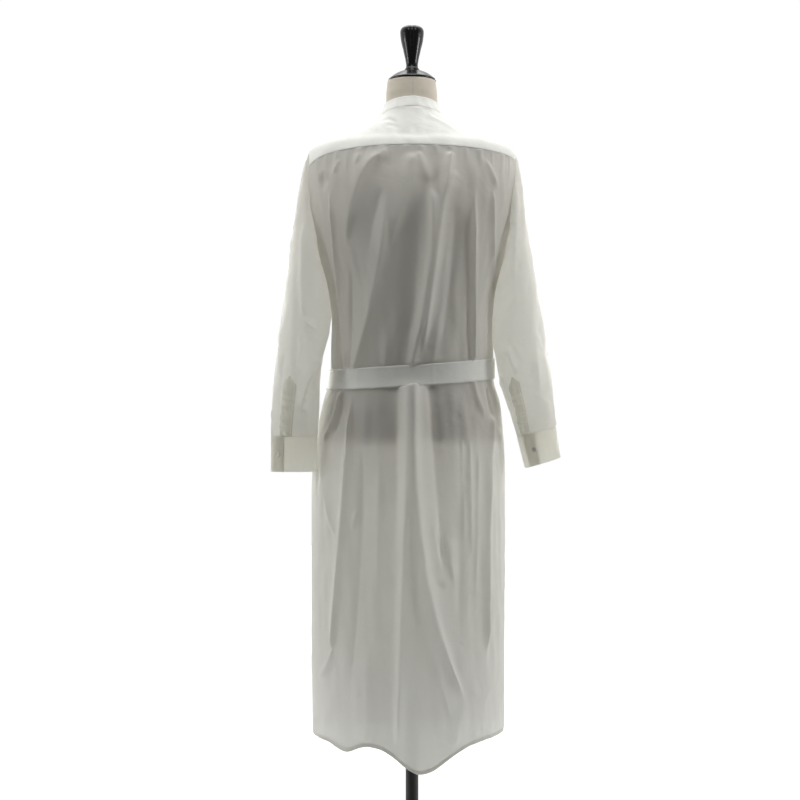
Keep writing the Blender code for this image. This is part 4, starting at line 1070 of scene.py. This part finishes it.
def belt():
    angle = full_turn(300)
    outer = belt_point(angle, np.linspace(-BELT_WIDTH / 2, BELT_WIDTH / 2, 16)[:, None])
    return cloth("belt", band("belt", outer, DOUBLE, 0.0018, closed=True))


# ---------------------------------------------------------------- sleeves
# One row is one ring of a sleeve: the point on its outer and inner line, its half depth front to
# back, and the y of its middle, in millimetres.
Ring = namedtuple("Ring", "outer_x outer_z inner_x inner_z half_depth mid_y")
SLEEVE_RINGS = {
    "left": in_metres(Ring, [
        (204, 1300, 172, 1098, 59, 0),
        (211, 1265, 165.5, 1078, 59, 4),
        (218.5, 1220, 159.5, 1055, 57, 9),
        (225, 1170, 156.3, 1032, 54.5, 14),
        (231, 1120, 153.8, 1008, 52, 20),
        (237, 1070, 154, 983, 49, 25),
        (243, 1020, 161, 957, 46.5, 29),
        (249, 972, 168.5, 930, 44, 33),
        (254.5, 926, 171.5, 900, 41.5, 38),
        (258, 884, 173, 868, 39, 43),
        (260.2, 845, 174.2, 836, 35.5, 48),
        (261.2, 812, 175.2, 808, 31.5, 53),
        (260.8, 786.5, 176, 786.5, 27, 56),
    ]),
    "right": in_metres(Ring, [
        (202, 1302, 173, 1098, 59, 0),
        (207, 1265, 166.5, 1078, 59, 3),
        (212, 1222, 160.5, 1055, 57, 7),
        (218, 1174, 157, 1030, 54, 12),
        (225.5, 1125, 155, 1005, 51, 17),
        (233, 1078, 154.8, 980, 48, 21),
        (240, 1033, 156, 952, 45, 24),
        (246.5, 990, 159.2, 922, 42.5, 26),
        (253, 946, 165.5, 890, 40, 28),
        (259, 902, 175, 858, 37.5, 29),
        (264, 862, 185, 828, 34.5, 30),
        (267, 829, 191.5, 802, 30.5, 32),
        (268.3, 805.5, 197.5, 783.5, 26.5, 34),
    ]),
}
CUFF_END = dict(zip(SIDES, in_metres(Ring, [
    (261.5, 722.5, 176.5, 722.5, 26.5, 58),
    (277.5, 748, 212, 727.5, 25, 37),
])))
LAST_RING = len(SLEEVE_RINGS["left"]) - 1
SLEEVE_POWER = 2 / 2.2
SLEEVE_COLUMNS = 132
SLEEVE_ROWS = 230
SLEEVE_FOLD_DEPTH = 2.2  # of the creases on a sleeve's back
FRONT_FOLD_DEPTH = 0.8   # of the same creases on its front
FRONT_DROP = 0.012       # which lie this much lower
SLEEVE_CRINKLE = 1.6
SLEEVE_SEED = {"left": 41, "right": 42}


def ring_point(values, side, turn):
    """Points of sleeve rings, given as an array of Ring values. Turn 0 is the outer line."""
    outer_x, outer_z, inner_x, inner_z, half_depth, mid_y = np.moveaxis(np.asarray(values), -1, 0)
    sign = SIGN[side]
    along = signed_power(np.cos(turn), SLEEVE_POWER)
    deep = signed_power(np.sin(turn), SLEEVE_POWER)
    return np.stack([
        sign * ((outer_x + inner_x) / 2 + along * (outer_x - inner_x) / 2),
        mid_y + deep * half_depth,
        (outer_z + inner_z) / 2 + along * (outer_z - inner_z) / 2,
    ], axis=-1)


def sleeve_surface(side, turn, row):
    """Points of a sleeve at fractional rings; ring -1 is the armhole, the last the cuff's top."""
    turn, row = np.broadcast_arrays(np.asarray(turn, float), np.asarray(row, float))
    rings = np.array(SLEEVE_RINGS[side])
    near_turn = np.where(turn < math.pi, turn, turn - 2 * math.pi)
    angle, height = armhole(near_turn, side)
    edge = tube(angle, station_at(angle, height))

    def control(index):
        inner = ring_point(rings[np.clip(index, 0, LAST_RING)], side, turn)
        return np.where((index < 0)[..., None], edge, inner)

    low = np.minimum(np.floor(row).astype(int), LAST_RING - 1)
    share = (row - low)[..., None]
    before, first, last, after = (control(np.maximum(low + step, -1)) for step in (-1, 0, 1, 2))
    return curve_between(first, (last - before) / 2, last, (after - first) / 2, share)


# Creases of the sleeves' backs, in millimetres, by x and height from top to bottom.
SLEEVE_CREASES = {
    "left": in_metres(Crease, [
        ("zone_edge", 198, 1190, 202, 1100, 201, 1002, 5, 3, 10, 20, 10),
        ("zone_low", 201, 1006, 188, 990, 172, 986, 4, 4, 4, 6, 10),
        ("pit_a", 180, 1172, 171, 1160, 158, 1150, 2.5, 4, 4, 6, 6),
        ("pit_b", 176, 1132, 168, 1126, 158, 1124, -2, 4, 4, 5, 5),
        ("elbow_a", 170, 935, 194, 884, 205, 834, 8.5, 7, 2.5, 14, 8),
        ("elbow_dip", 174, 917, 189, 884, 196, 850, -6.2, 2.5, 4, 8, 8),
        ("elbow_low", 205, 839, 202, 828, 194, 815, 3, 3, 3, 4, 5),
        ("fold_long", 204, 991, 205, 928, 209, 869, 3, 3, 7, 12, 12),
        ("long_swell", 213, 1150, 220, 980, 224, 830, 2, 7, 12, 60, 30),
        ("cap_fold", 155, 1300, 172, 1275, 184, 1230, 3, 5, 4, 4, 20),
        ("fore_line", 232, 960, 238, 900, 240, 840, -1.5, 5, 5, 30, 20),
    ]),
    "right": in_metres(Crease, [
        ("long_line", -190, 1280, -190, 1170, -186, 1035, 3, 3, 5, 10, 40),
        ("pit_a", -178, 1190, -176, 1170, -172, 1150, -2.5, 5, 5, 6, 10),
        ("elbow_a", -178, 956, -192, 906, -205, 869, 3.8, 4, 3, 8, 10),
        ("elbow_dip", -174, 943, -185, 906, -198, 863, -2.6, 4, 3, 6, 8),
        ("elbow_b", -163, 906, -178, 876, -189, 839, 2.6, 4, 3, 5, 8),
        ("long_swell", -214, 1160, -224, 1000, -240, 850, 2, 12, 7, 60, 30),
        ("fore_line", -246, 950, -254, 890, -262, 840, 1.5, 4, 4, 30, 20),
    ]),
}


REST_LOW = {"left": 0.990, "right": 0.935}    # the sleeves touch the body above these heights


def rest_on_body(side, points):
    """Closes the last millimetres between a hanging sleeve and the side of the body."""
    sign = SIGN[side]
    height = np.clip(points[..., 2], 0.80, ARM_BOTTOM)
    straight = 0.0 if side == "left" else math.pi
    angle = side_angle(points[..., 1], station_at(straight, height), side == "left")
    body = sign * tube(angle, station_at(angle, height))[..., 0] + 0.0004
    gap = sign * points[..., 0] - body
    near = 1 - ease((gap - 0.003) / 0.008)
    level = ease((points[..., 2] - REST_LOW[side]) / 0.03) * ease((ARM_BOTTOM - points[..., 2]) / 0.02)
    points[..., 0] -= sign * gap * near * level
    return points


def sleeve(side):
    """A sleeve from its cuff up to the armhole. Its creases are drawn on its back."""
    turn = full_turn(SLEEVE_COLUMNS)
    row = np.linspace(LAST_RING, -1.0, SLEEVE_ROWS)[:, None]
    points = as_worn(sleeve_surface(side, turn, row), side)
    turn = as_worn(turn[None], side)[0]
    normals = surface_normals(points, closed=True)
    paths = [flat_path(crease) for crease in SLEEVE_CREASES[side]]
    lift = SLEEVE_FOLD_DEPTH * relief(points[..., 0], points[..., 2], SLEEVE_CREASES[side], paths)
    behind = ease((np.sin(turn) + 0.1) / 0.3)
    before = ease((0.1 - np.sin(turn)) / 0.3)
    lift_front = relief(points[..., 0], points[..., 2] + FRONT_DROP, SLEEVE_CREASES[side], paths)
    seed = SLEEVE_SEED[side]
    loose = rumple(turn * 0.045, points[..., 2], seed, 0.0008, 0.035)
    small = SLEEVE_CRINKLE * crinkles(points[..., 0], points[..., 2], seed, 60)
    out = lift * behind + FRONT_FOLD_DEPTH * lift_front * before + loose + small * (behind - before)
    free = ease((row + 1.0) / 0.5) * ease((LAST_RING - row) / 0.3)
    out = out * free * beside_strip(side, turn, row) + cuff_pleats(turn, row)
    out = out + seam_ridge((row + 1.0) * 0.02)
    points = rest_on_body(side, points + normals * out[..., None])
    name = "sleeve_" + side
    return cloth(name, grid_object(name, points, SINGLE, closed=True))


PLEAT_TURNS = (0.35, 2.75)


def cuff_pleats(turn, row):
    """Two small pleats that take the sleeve's fullness into the cuff."""
    total = np.zeros(np.broadcast(turn, row).shape)
    for place in PLEAT_TURNS:
        near = np.angle(np.exp(1j * (turn - place)))
        fade = ease((row - (LAST_RING - 2.4)) / 2.0) * ease((LAST_RING - row) / 0.12)
        total = total + 0.0022 * np.exp(-np.abs(near / 0.10) ** 1.6) * fade
    return total


CUFF_EDGE_TURN = {"left": math.radians(71.5), "right": math.radians(135.5)}
CUFF_OVERLAP_TURN = 0.62


def cuff_point(side, turn, drop, out):
    """Points of the cuff: drop 0 is its top edge, 1 its lower edge."""
    top = np.array(SLEEVE_RINGS[side][-1])
    low = np.array(CUFF_END[side])
    values = blend(top, low, np.asarray(drop)[..., None])
    point = ring_point(values, side, turn)
    centre = (ring_point(values, side, 0.0 * turn) + ring_point(values, side, 0.0 * turn + math.pi)) / 2
    outward = point - centre
    outward[..., 2] = 0.0
    return point + unit(outward) * np.asarray(out)[..., None]


def cuff_layer(side, share, drop, out=0.0):
    """Points of a cuff's outer face: share runs round it, from under the overlap to its edge."""
    share, drop = np.broadcast_arrays(share, drop)
    turn = CUFF_EDGE_TURN[side] - CUFF_OVERLAP_TURN + (2 * math.pi + CUFF_OVERLAP_TURN) * share
    over = ease((share - 0.84) / 0.06) * LAP
    wobble = rumple(turn * 0.04, drop * 0.06, 51, 0.0003, 0.025)
    return cuff_point(side, turn, drop, over + 0.0008 + wobble + out)


def cuff(side):
    outer = cuff_layer(side, np.linspace(0.0, 1.0, 171), np.linspace(1.0, -0.012, 20)[:, None])
    name = "cuff_" + side
    return cloth(name, band(name, as_worn(outer, side), CUFF, 0.0014))


PLACKET_TURN = {"left": (1.386, 1.274), "right": (2.147, 2.180)}
PLACKET_TIP_RING = {"left": 8.45, "right": 8.15}
PLACKET_HALF_TURN = 0.26


def strip_middle(side, row):
    tip = PLACKET_TIP_RING[side]
    return blend(*PLACKET_TURN[side], (row - tip) / (LAST_RING - tip))


def beside_strip(side, turn, row):
    """0 where the sleeve lies flat under its strip, 1 away from it."""
    away = np.abs(np.angle(np.exp(1j * (turn - strip_middle(side, row)))))
    above = ease((PLACKET_TIP_RING[side] - row) / 0.5)
    return np.maximum(ease((away - PLACKET_HALF_TURN) / 0.18), above)


def sleeve_outward(side, turn, row):
    around = sleeve_surface(side, turn + 0.1, row) - sleeve_surface(side, turn - 0.1, row)
    down = sleeve_surface(side, turn, row) - sleeve_surface(side, turn, row - 0.5)
    outward = np.cross(down, around) if side == "left" else np.cross(around, down)
    return unit(outward)


PLACKET_POINT = 0.42     # length of the pointed end, in rings
STRIP_LIFT = 0.0021
# Creases across the strip: how far below its tip and how slanted, in rings, and how high.
STRIP_WRINKLES = [
    (0.95, 0.02, -0.0009),
    (1.15, 0.03, 0.0014),
    (1.52, -0.08, 0.0016),
    (1.80, 0.09, 0.0013),
    (2.08, -0.06, 0.0017),
    (2.38, 0.10, 0.0012),
    (2.66, -0.09, 0.0015),
    (2.95, 0.05, 0.0011),
]


def sleeve_strip_point(side, across, row, out=0.0):
    """Points of the strip over a sleeve's opening: across runs from -1 to 1 over its width."""
    across, row = np.broadcast_arrays(across, row)
    tip = PLACKET_TIP_RING[side]
    width = np.minimum(1.0, (row - tip) / PLACKET_POINT * 0.95 + 0.03)
    turn = strip_middle(side, row) + across * width * PLACKET_HALF_TURN
    crumple = rumple(turn * 0.04, row * 0.034, 61, 0.0014, 0.015)
    for place, slant, height in STRIP_WRINKLES:
        crumple = crumple + height * np.exp(-((row - tip - place - slant * across) / 0.075) ** 2)
    lift = STRIP_LIFT + 0.8 * crumple * ease((LAST_RING - row) / 0.4) + out
    return sleeve_surface(side, turn, row) + sleeve_outward(side, turn, row) * lift[..., None]


def sleeve_placket(side):
    """The strip over a sleeve's opening, up to a pointed end, a little rumpled."""
    row = np.linspace(LAST_RING - 0.02, PLACKET_TIP_RING[side], 120)[:, None]
    outer = sleeve_strip_point(side, np.linspace(-1.0, 1.0, 15), row)
    name = "sleeve_placket_" + side
    return cloth(name, band(name, as_worn(outer, side), STRIP, 0.0010))


# ---------------------------------------------------------------- belt's knot and ends
TAIL_LIFT = 0.0085       # the ends hang this far outside the front


def belt_tail(side):
    """One end of the belt, hanging from the knot, with a soft twist."""
    name = "belt_tail_" + side
    low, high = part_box(name)
    sign = SIGN[side]
    across = np.linspace(-1.0, 1.0, 13)
    share = np.linspace(1.0, 0.0, 90)[:, None]
    half = blend(0.010, BELT_WIDTH / 2, ease(share * 4))
    x = sign * (half + 0.0003 + 0.022 * share) + across * half
    height = np.broadcast_to(blend(low.z, high.z, 1 - share), x.shape)
    wave = 0.0012 * np.sin(share * 7 + sign) * across + 0.0010 * np.sin(share * 11)
    y = on_tube(angle_at_x(x, height, False), height, TAIL_LIFT + wave * ease(share * 3))[..., 1]
    knot_low, knot_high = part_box("belt_knot")
    y = np.minimum(y, blend((knot_low.y + knot_high.y) / 2, y, ease(share * 3)))
    fold = 0.0030 * np.exp(-(across / 0.25) ** 2) * (1 - ease(share * 5))
    points = np.stack([x, y + fold, height], axis=-1)
    return cloth(name, band(name, points, DOUBLE, 0.0016))


def belt_knot():
    """The knot: a pillow of wrapped cloth with folds that run into it."""
    low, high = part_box("belt_knot")
    centre = np.array((low + high) / 2)
    half = np.array((high - low) / 2)
    around = full_turn(96)
    level = np.linspace(-QUARTER, QUARTER, 61)[1:-1, None]
    ball = np.stack([
        np.cos(level) * np.cos(around), np.cos(level) * np.sin(around), np.sin(level) + 0.0 * around,
    ], axis=-1)
    size = (np.abs(ball) ** 3.0).sum(-1) ** (1 / 3.0)
    ball = ball / size[..., None]
    x, z = ball[..., 0], ball[..., 2]
    slant = x * 0.35 + z
    folds = 0.05 * np.cos(slant * 9.0) * np.exp(-(x / 0.8) ** 2) + 0.05 * np.cos((x - 0.4 * z) * 8.0)
    pinch = sum(np.exp(-((x + end + 0.1 * z) / 0.10) ** 2) for end in (0.72, -0.72))
    scale = 0.96 + (folds - 0.10 * pinch) * 0.6
    points = centre + ball * half * scale[..., None]
    return cloth("belt_knot", grid_object("belt_knot", points, DOUBLE, closed=True, caps=True))


# ---------------------------------------------------------------- form and stand
# The form's rounded lower edge, as (height above its bottom, how far inside its side).
TORSO_EDGE = [(0.0, 0.014), (0.0006, 0.0085), (0.002, 0.005), (0.005, 0.002), (0.010, 0.0)]


def torso():
    """The form's cover, moved inwards from the dress, with its bottom rounded."""
    angle = full_turn(160)
    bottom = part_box("torso")[0].z
    rows = [torso_point(angle, station_at(angle, bottom + rise), trim) for rise, trim in TORSO_EDGE]
    for height in np.linspace(bottom + 0.018, 1.26, 50):
        rows.append(torso_point(angle, station_at(angle, height)))
    for station in np.linspace(STATION["tip"], TOP_STATION, 70):
        rows.append(torso_point(angle, np.full(angle.shape, station)))
    form = grid_object("torso", np.stack(rows), LINEN, closed=True, caps=True)
    return attach(form, "form_linen", "torso")


SEAM_ANGLES = (QUARTER, -QUARTER, 0.0, math.pi)


def torso_point(angle, station, trim=0.0):
    """Points of the form's cover, with a shallow groove at each seam."""
    inset = form_inset(angle, station) + trim
    for seam in SEAM_ANGLES:
        near = np.angle(np.exp(1j * (angle - seam))) * 0.06
        inset = inset + 0.0006 * np.exp(-(near / 0.0012) ** 2)
    outward = tube_normal(angle, np.minimum(station, STATION["throat"]))
    point = tube(angle, station)
    moved = point - outward * inset[..., None]
    moved[..., 2] = np.where(station < STATION["chest"], point[..., 2], moved[..., 2])
    return moved


NECK_CENTRE_Y = -0.006
NECK_TOP = 1.4585
CAP_PROFILE = [
    (0.0446, NECK_TOP + 0.0003), (0.0454, NECK_TOP + 0.0010),
    (0.0459, 1.4605), (0.0460, 1.4622), (0.0455, 1.4632), (0.0440, 1.4645), (0.0380, 1.4698),
    (0.0320, 1.4738), (0.0266, 1.4765), (0.0200, 1.4777), (0.0182, 1.4780), (0.0176, 1.4784),
    (0.0176, 1.4797), (0.0172, 1.4806), (0.0160, 1.4813), (0.0150, 1.4815),
]
BASE_PROFILE = [
    (0.1880, 0.0), (0.1890, 0.0004), (0.1899, 0.0015), (0.1900, 0.0060),
    (0.1893, 0.0080), (0.1875, 0.0098), (0.1855, 0.0110), (0.1740, 0.0150), (0.1500, 0.0172),
    (0.1200, 0.0200), (0.0800, 0.0221), (0.0400, 0.0236), (0.0260, 0.0240), (0.0240, 0.0242),
    (0.0228, 0.0255), (0.0222, 0.0275), (0.0215, 0.0292), (0.0200, 0.0300),
]


def revolved(profile, count, centre_y=0.0, narrowing=1.0):
    """Rings of points round an upright axis, from (radius, height) pairs listed from the bottom up."""
    angle = full_turn(count)
    radius, height = np.array(profile).T[..., None]
    reach = radius * narrowing
    x = reach * np.cos(angle)
    return np.stack([x, centre_y + reach * np.sin(angle), np.broadcast_to(height, x.shape)], axis=-1)


def turned(name, profile, centre_y, material, slot_name):
    """A round piece with closed ends, turned from (radius, height) pairs."""
    thing = grid_object(name, revolved(profile, 128, centre_y), material, closed=True, caps=True)
    thing.data.set_sharp_from_angle(angle=math.radians(35))
    return attach(thing, slot_name, name)


# The handle on the neck, as (height, radius); four grooves part it into lobes.
HANDLE = [
    (1.4818, 0.0132), (1.4826, 0.0137), (1.4840, 0.0134), (1.4870, 0.0116), (1.4920, 0.0112),
    (1.5000, 0.0125), (1.5076, 0.0143), (1.5150, 0.0162), (1.5230, 0.0180), (1.5300, 0.0200),
    (1.5380, 0.0219), (1.5456, 0.0230), (1.5500, 0.0236), (1.5530, 0.02370), (1.5560, 0.0232),
    (1.5590, 0.0219), (1.5614, 0.0200), (1.5630, 0.0177), (1.5645, 0.0140), (1.5653, 0.0098),
    (1.5655, 0.0040),
]


def finial():
    samples = np.linspace(0.0, len(HANDLE) - 1.0, 110)
    height, radius = (np.interp(samples, range(len(HANDLE)), column) for column in zip(*HANDLE))
    groove = 0.16 * ease((height[:, None] - 1.497) / 0.030)
    lobes = 1 - groove * np.maximum(0.0, np.cos(4 * full_turn(144))) ** 3
    points = revolved(np.stack([radius, height], axis=-1), 144, NECK_CENTRE_Y, lobes)
    thing = grid_object("finial", points, LACQUER, closed=True, caps=True)
    return attach(thing, "black_lacquer", "finial")


def pole():
    low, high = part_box("pole")
    radius = (high.x - low.x) / 2
    profile = [
        (radius - 0.0006, low.z), (radius, low.z + 0.0006),
        (radius, high.z - 0.0006), (radius - 0.0006, high.z),
    ]
    return turned("pole", profile, 0.0, ENAMEL, "black_steel")


# ---------------------------------------------------------------- buttons
# A raised rim round a dished face, as (radius, height above its middle).
BUTTON_PROFILE = [
    (0.0042, -0.0011), (0.0052, -0.0008), (0.0055, -0.0002), (0.0054, 0.0004), (0.0050, 0.0009),
    (0.0045, 0.0011), (0.0040, 0.0009), (0.0036, 0.0005), (0.0030, 0.0003), (0.0022, 0.0003),
    (0.0010, 0.0003),
]


def button(node):
    """A button in the place of its solid, turned the same way."""
    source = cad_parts[node]
    corners = np.array([vertex.co for vertex in source.data.vertices])
    centre = (corners.min(0) + corners.max(0)) / 2
    spread = corners - corners.mean(0)
    axes = np.linalg.svd(spread, full_matrices=False)[2]
    outward = axes[2]
    inward = np.array([0.0, 0.0, centre[2]]) - centre
    if node.startswith("cuff_button"):
        low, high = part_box(node.replace("_button", ""))
        inward = np.array((low + high) / 2) - centre
    outward = -outward if outward @ inward > 0 else outward
    turn = Vector(outward).to_track_quat("Z", "Y").to_matrix()
    points = revolved(BUTTON_PROFILE, 40) @ np.array(turn).T + corners.mean(0)
    thing = grid_object(node, points, PEARL, closed=True, caps=True)
    return attach(thing, "pearl_button", node)


# ---------------------------------------------------------------- buttonholes
HOLE_HALF = 0.0068       # half length of a buttonhole


def buttonhole(surface):
    """A flat ring of close stitches. surface gives points for an amount along, across and out."""
    turn = full_turn(40)
    tube_turn = full_turn(6)[:, None]
    width = 0.00115 + 0.00045 * np.cos(tube_turn)
    rise = 0.00015 + 0.00035 * np.sin(tube_turn)
    along = (HOLE_HALF - 0.0011) * np.cos(turn) + width * np.cos(turn)
    across = width * np.sin(turn)
    return surface(along, across, rise + 0.0 * turn)


def buttonholes():
    """The holes of the front strip, which run up and down."""
    nodes = [node for node in sorted(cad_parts) if node.startswith("front_button")]
    for number, node in enumerate(nodes, 1):
        low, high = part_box(node)
        x = (low.x + high.x) / 2
        z = (low.z + high.z) / 2
        rows = buttonhole(lambda along, across, out: strip_point(x + across, z + along, out))
        closed = np.concatenate([rows, rows[:1]])
        attach(grid_object("buttonhole_%d" % number, closed, THREAD, closed=True), "cloth")


# ---------------------------------------------------------------- stitches
STITCH_PITCH = 0.0030
STITCH_LENGTH = 0.0024
STITCH_HALF = 0.00022
BAR_FACES = [
    (0, 2, 1), (0, 3, 2), (0, 4, 3), (0, 1, 4),
    (1, 2, 6, 5), (2, 3, 7, 6), (3, 4, 8, 7), (4, 1, 5, 8),
    (9, 5, 6), (9, 6, 7), (9, 7, 8), (9, 8, 5),
]


def bars(centres, along, outward, length):
    """Ten corners for each small thread bar: a square tube with pointed ends."""
    along = unit(along)
    across = unit(np.cross(outward, along))
    up = unit(outward)
    half = length / 2
    corners = [centres - along * half - up * STITCH_HALF]
    for step in (-0.5, 0.5):
        for side, rise in ((-1, 0), (0, 1), (1, 0), (0, -1)):
            offset = along * (step * half) + across * (side * STITCH_HALF * 1.3) + up * (rise * STITCH_HALF)
            corners.append(centres + offset)
    corners.append(centres + along * half - up * STITCH_HALF)
    return np.stack(corners, axis=1)


def topstitch(surface):
    """Bars along a line. surface gives the line's points for an amount moved out."""
    line = surface(0.0003)
    outward = unit(surface(0.0013) - line)
    steps = np.linalg.norm(np.diff(line, axis=0), axis=1)
    travelled = np.concatenate([[0.0], np.cumsum(steps)])
    places = np.arange(STITCH_PITCH / 2, travelled[-1], STITCH_PITCH)

    def at(values, where):
        return np.stack([np.interp(where, travelled, values[:, axis]) for axis in range(3)], axis=-1)

    along = at(line, places + STITCH_LENGTH / 3) - at(line, places - STITCH_LENGTH / 3)
    return bars(at(line, places), along, at(outward, places), STITCH_LENGTH)


def threads(name, groups):
    """One mesh of all the bars of some rows."""
    corners = np.concatenate(groups)
    count = len(corners)
    faces = [
        [index * 10 + corner for corner in face]
        for index in range(count) for face in BAR_FACES
    ]
    mesh = bpy.data.meshes.new(name)
    mesh.from_pydata(corners.reshape(-1, 3).tolist(), [], faces)
    thing = new_object(name, mesh, THREAD)
    return attach(thing, "cloth")


HEM_STITCH = 0.0062      # the hem's row runs this far above its edge
EDGE_STITCH = 0.0028     # rows along finished edges


def seam_rows():
    """All topstitched rows of the dress."""
    rows = []
    ends = [armhole(BACK_TURN[side], side)[0] for side in SIDES]
    angle = np.linspace(ends[0] + 0.01, ends[1] - 0.01, 400)
    rows.append(topstitch(lambda out: on_tube(angle, yoke_seam(angle) + 0.0020, YOKE_LIFT + out)))
    turn = np.linspace(0.012, math.pi - 0.012, 500)
    edge = np.minimum(turn, math.pi - turn) * MEAN_RADIUS
    rows.append(topstitch(lambda out: back_point(turn, hem(turn) + HEM_STITCH, edge, out)))
    for start, finish in ((-math.pi + 0.012, -QUARTER - 0.14), (-QUARTER + 0.14, -0.012)):
        front = np.linspace(start, finish, 260)
        side = np.minimum(-front, front + math.pi) * MEAN_RADIUS
        rows.append(topstitch(lambda out: front_point(front, hem(front) + HEM_STITCH, side, out=out)))
    return rows


def band_rows():
    rows = []
    share = np.linspace(0.02, 0.98, 300)
    for climb in (0.13, 0.88):
        rows.append(topstitch(lambda out: collar_point(share, climb, out)))
    height = np.linspace(PLACKET_LOW + 0.004, PLACKET_TOP - 0.006, 600)
    for x in (EDGE_STITCH - PLACKET_HALF, PLACKET_HALF - EDGE_STITCH):
        rows.append(topstitch(lambda out: strip_point(x, height, out)))
    angle = np.linspace(0.0, 2 * math.pi, 600)
    for lift in (EDGE_STITCH - BELT_WIDTH / 2, BELT_WIDTH / 2 - EDGE_STITCH):
        rows.append(topstitch(lambda out: belt_point(angle, lift, out)))
    for side in SIDES:
        for drop in (0.055, 0.945):
            rows.append(topstitch(lambda out: cuff_layer(side, share, drop, out)))
        drops = np.linspace(0.05, 0.95, 60)
        rows.append(topstitch(lambda out: cuff_layer(side, 0.988, drops, out)))
        row = np.linspace(LAST_RING - 0.1, PLACKET_TIP_RING[side] + 0.12, 120)
        for across in (-0.78, 0.78):
            rows.append(topstitch(lambda out: sleeve_strip_point(side, across, row, out)))
    return rows


# ---------------------------------------------------------------- studio
def studio():
    """Soft light, strong from beyond the dress and weak from the camera's side, on white paper."""
    world = bpy.data.worlds.new("studio")
    bpy.context.scene.world = world
    world.use_nodes = True
    nodes = world.node_tree.nodes
    links = world.node_tree.links
    soft = nodes["Background"]
    coords = nodes.new("ShaderNodeTexCoord")
    parts = nodes.new("ShaderNodeSeparateXYZ")
    span = add_node(
        nodes, "ShaderNodeMapRange", {"interpolation_type": "SMOOTHSTEP"},
        From_Min=-0.40, From_Max=0.65, To_Min=1.15, To_Max=0.07,
    )
    links.new(coords.outputs["Generated"], parts.inputs[0])
    links.new(parts.outputs["Y"], span.inputs["Value"])
    links.new(span.outputs["Result"], soft.inputs["Strength"])
    soft.inputs["Color"].default_value = (1.0, 1.0, 0.985, 1.0)
    paper = add_node(nodes, "ShaderNodeBackground", Color=(1.0, 1.0, 1.0, 1.0), Strength=1.02)
    rays = nodes.new("ShaderNodeLightPath")
    choice = nodes.new("ShaderNodeMixShader")
    links.new(rays.outputs["Is Camera Ray"], choice.inputs["Fac"])
    links.new(soft.outputs[0], choice.inputs[1])
    links.new(paper.outputs[0], choice.inputs[2])
    links.new(choice.outputs[0], nodes["World Output"].inputs["Surface"])


def softbox(name, place, aim, size, power, spread=180.0):
    data = bpy.data.lights.new(name, "AREA")
    data.spread = math.radians(spread)
    data.shape = "RECTANGLE"
    data.size, data.size_y = size
    data.energy = power
    lamp = bpy.data.objects.new(name, data)
    lamp.location = place
    lamp.rotation_euler = (Vector(aim) - Vector(place)).to_track_quat("-Z", "Y").to_euler()
    bpy.context.scene.collection.objects.link(lamp)


FLOOR_HALF = 3.0
FLOOR_BACK = -5.0
FLOOR_FRONT = 0.32
FLOOR_DROP = -0.0005     # the paper lies just under the base


def floor():
    """A pale paper floor that runs back from just before the stand and stays bright."""
    material = painted(
        "floor", (0.90, 0.90, 0.90), (0.88, 0.88, 0.88), 3.0,
        Roughness=0.7, Emission_Color=(1.0, 1.0, 1.0, 1.0), Emission_Strength=0.55,
    )[0]
    edge = [
        (-FLOOR_HALF, FLOOR_BACK, FLOOR_DROP), (FLOOR_HALF, FLOOR_BACK, FLOOR_DROP),
        (FLOOR_HALF, FLOOR_FRONT, FLOOR_DROP), (-FLOOR_HALF, FLOOR_FRONT, FLOOR_DROP),
    ]
    mesh = bpy.data.meshes.new("floor")
    mesh.from_pydata(edge, [], [(0, 1, 2, 3)])
    new_object("floor", mesh, material)


def build_dress():
    pieces = {"back": back_panel(), "yoke": yoke_panel(), "collar_band": collar_band()}
    pieces["front_placket"] = front_placket()
    pieces["belt"] = belt()
    pieces["belt_knot"] = belt_knot()
    for side in SIDES:
        pieces["front_" + side] = front_panel(side)
        pieces["sleeve_" + side] = sleeve(side)
        pieces["cuff_" + side] = cuff(side)
        pieces["sleeve_placket_" + side] = sleeve_placket(side)
        pieces["belt_tail_" + side] = belt_tail(side)
    for node in sorted(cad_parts):
        if "button" in node:
            button(node)
    return pieces


# Cut size (width, length) of a sheet, the share of that rectangle that is cloth, how it is held and
# what holds it; no sheet is listed with it in this script.
Cut = namedtuple("Cut", "piece width length share held rests_on")


def main():
    place_camera()
    pieces = build_dress()
    torso()
    turned("neck_cap", CAP_PROFILE, NECK_CENTRE_Y, LACQUER, "black_lacquer")
    turned("base", BASE_PROFILE, 0.0, ENAMEL, "black_steel")
    pole()
    finial()
    threads("topstitching", seam_rows() + band_rows())
    buttonholes()
    studio()
    floor()
    softbox("top", (0.0, -0.3, 3.0), (0.0, 0.0, 1.2), (1.6, 1.6), 20.0)
    softbox("neck", (0.0, 0.8, 2.3), (0.0, 0.02, 1.42), (0.9, 0.5), 0.95, 50.0)
    softbox("side_left", (2.2, 0.5, 1.2), (0.25, 0.0, 1.0), (0.5, 0.8), 1.3, 60.0)
    softbox("side_right", (-2.2, 0.5, 1.2), (-0.25, 0.0, 1.0), (0.5, 0.8), 1.9, 60.0)
    softbox("through_left", (1.5, -1.7, 1.3), (0.24, 0.03, 1.03), (0.4, 0.4), 0.9, 24.0)
    softbox("through_right", (-1.5, -1.7, 1.3), (-0.24, 0.03, 1.03), (0.4, 0.4), 1.1, 24.0)
    bpy.context.scene.view_settings.view_transform = "Standard"


main()
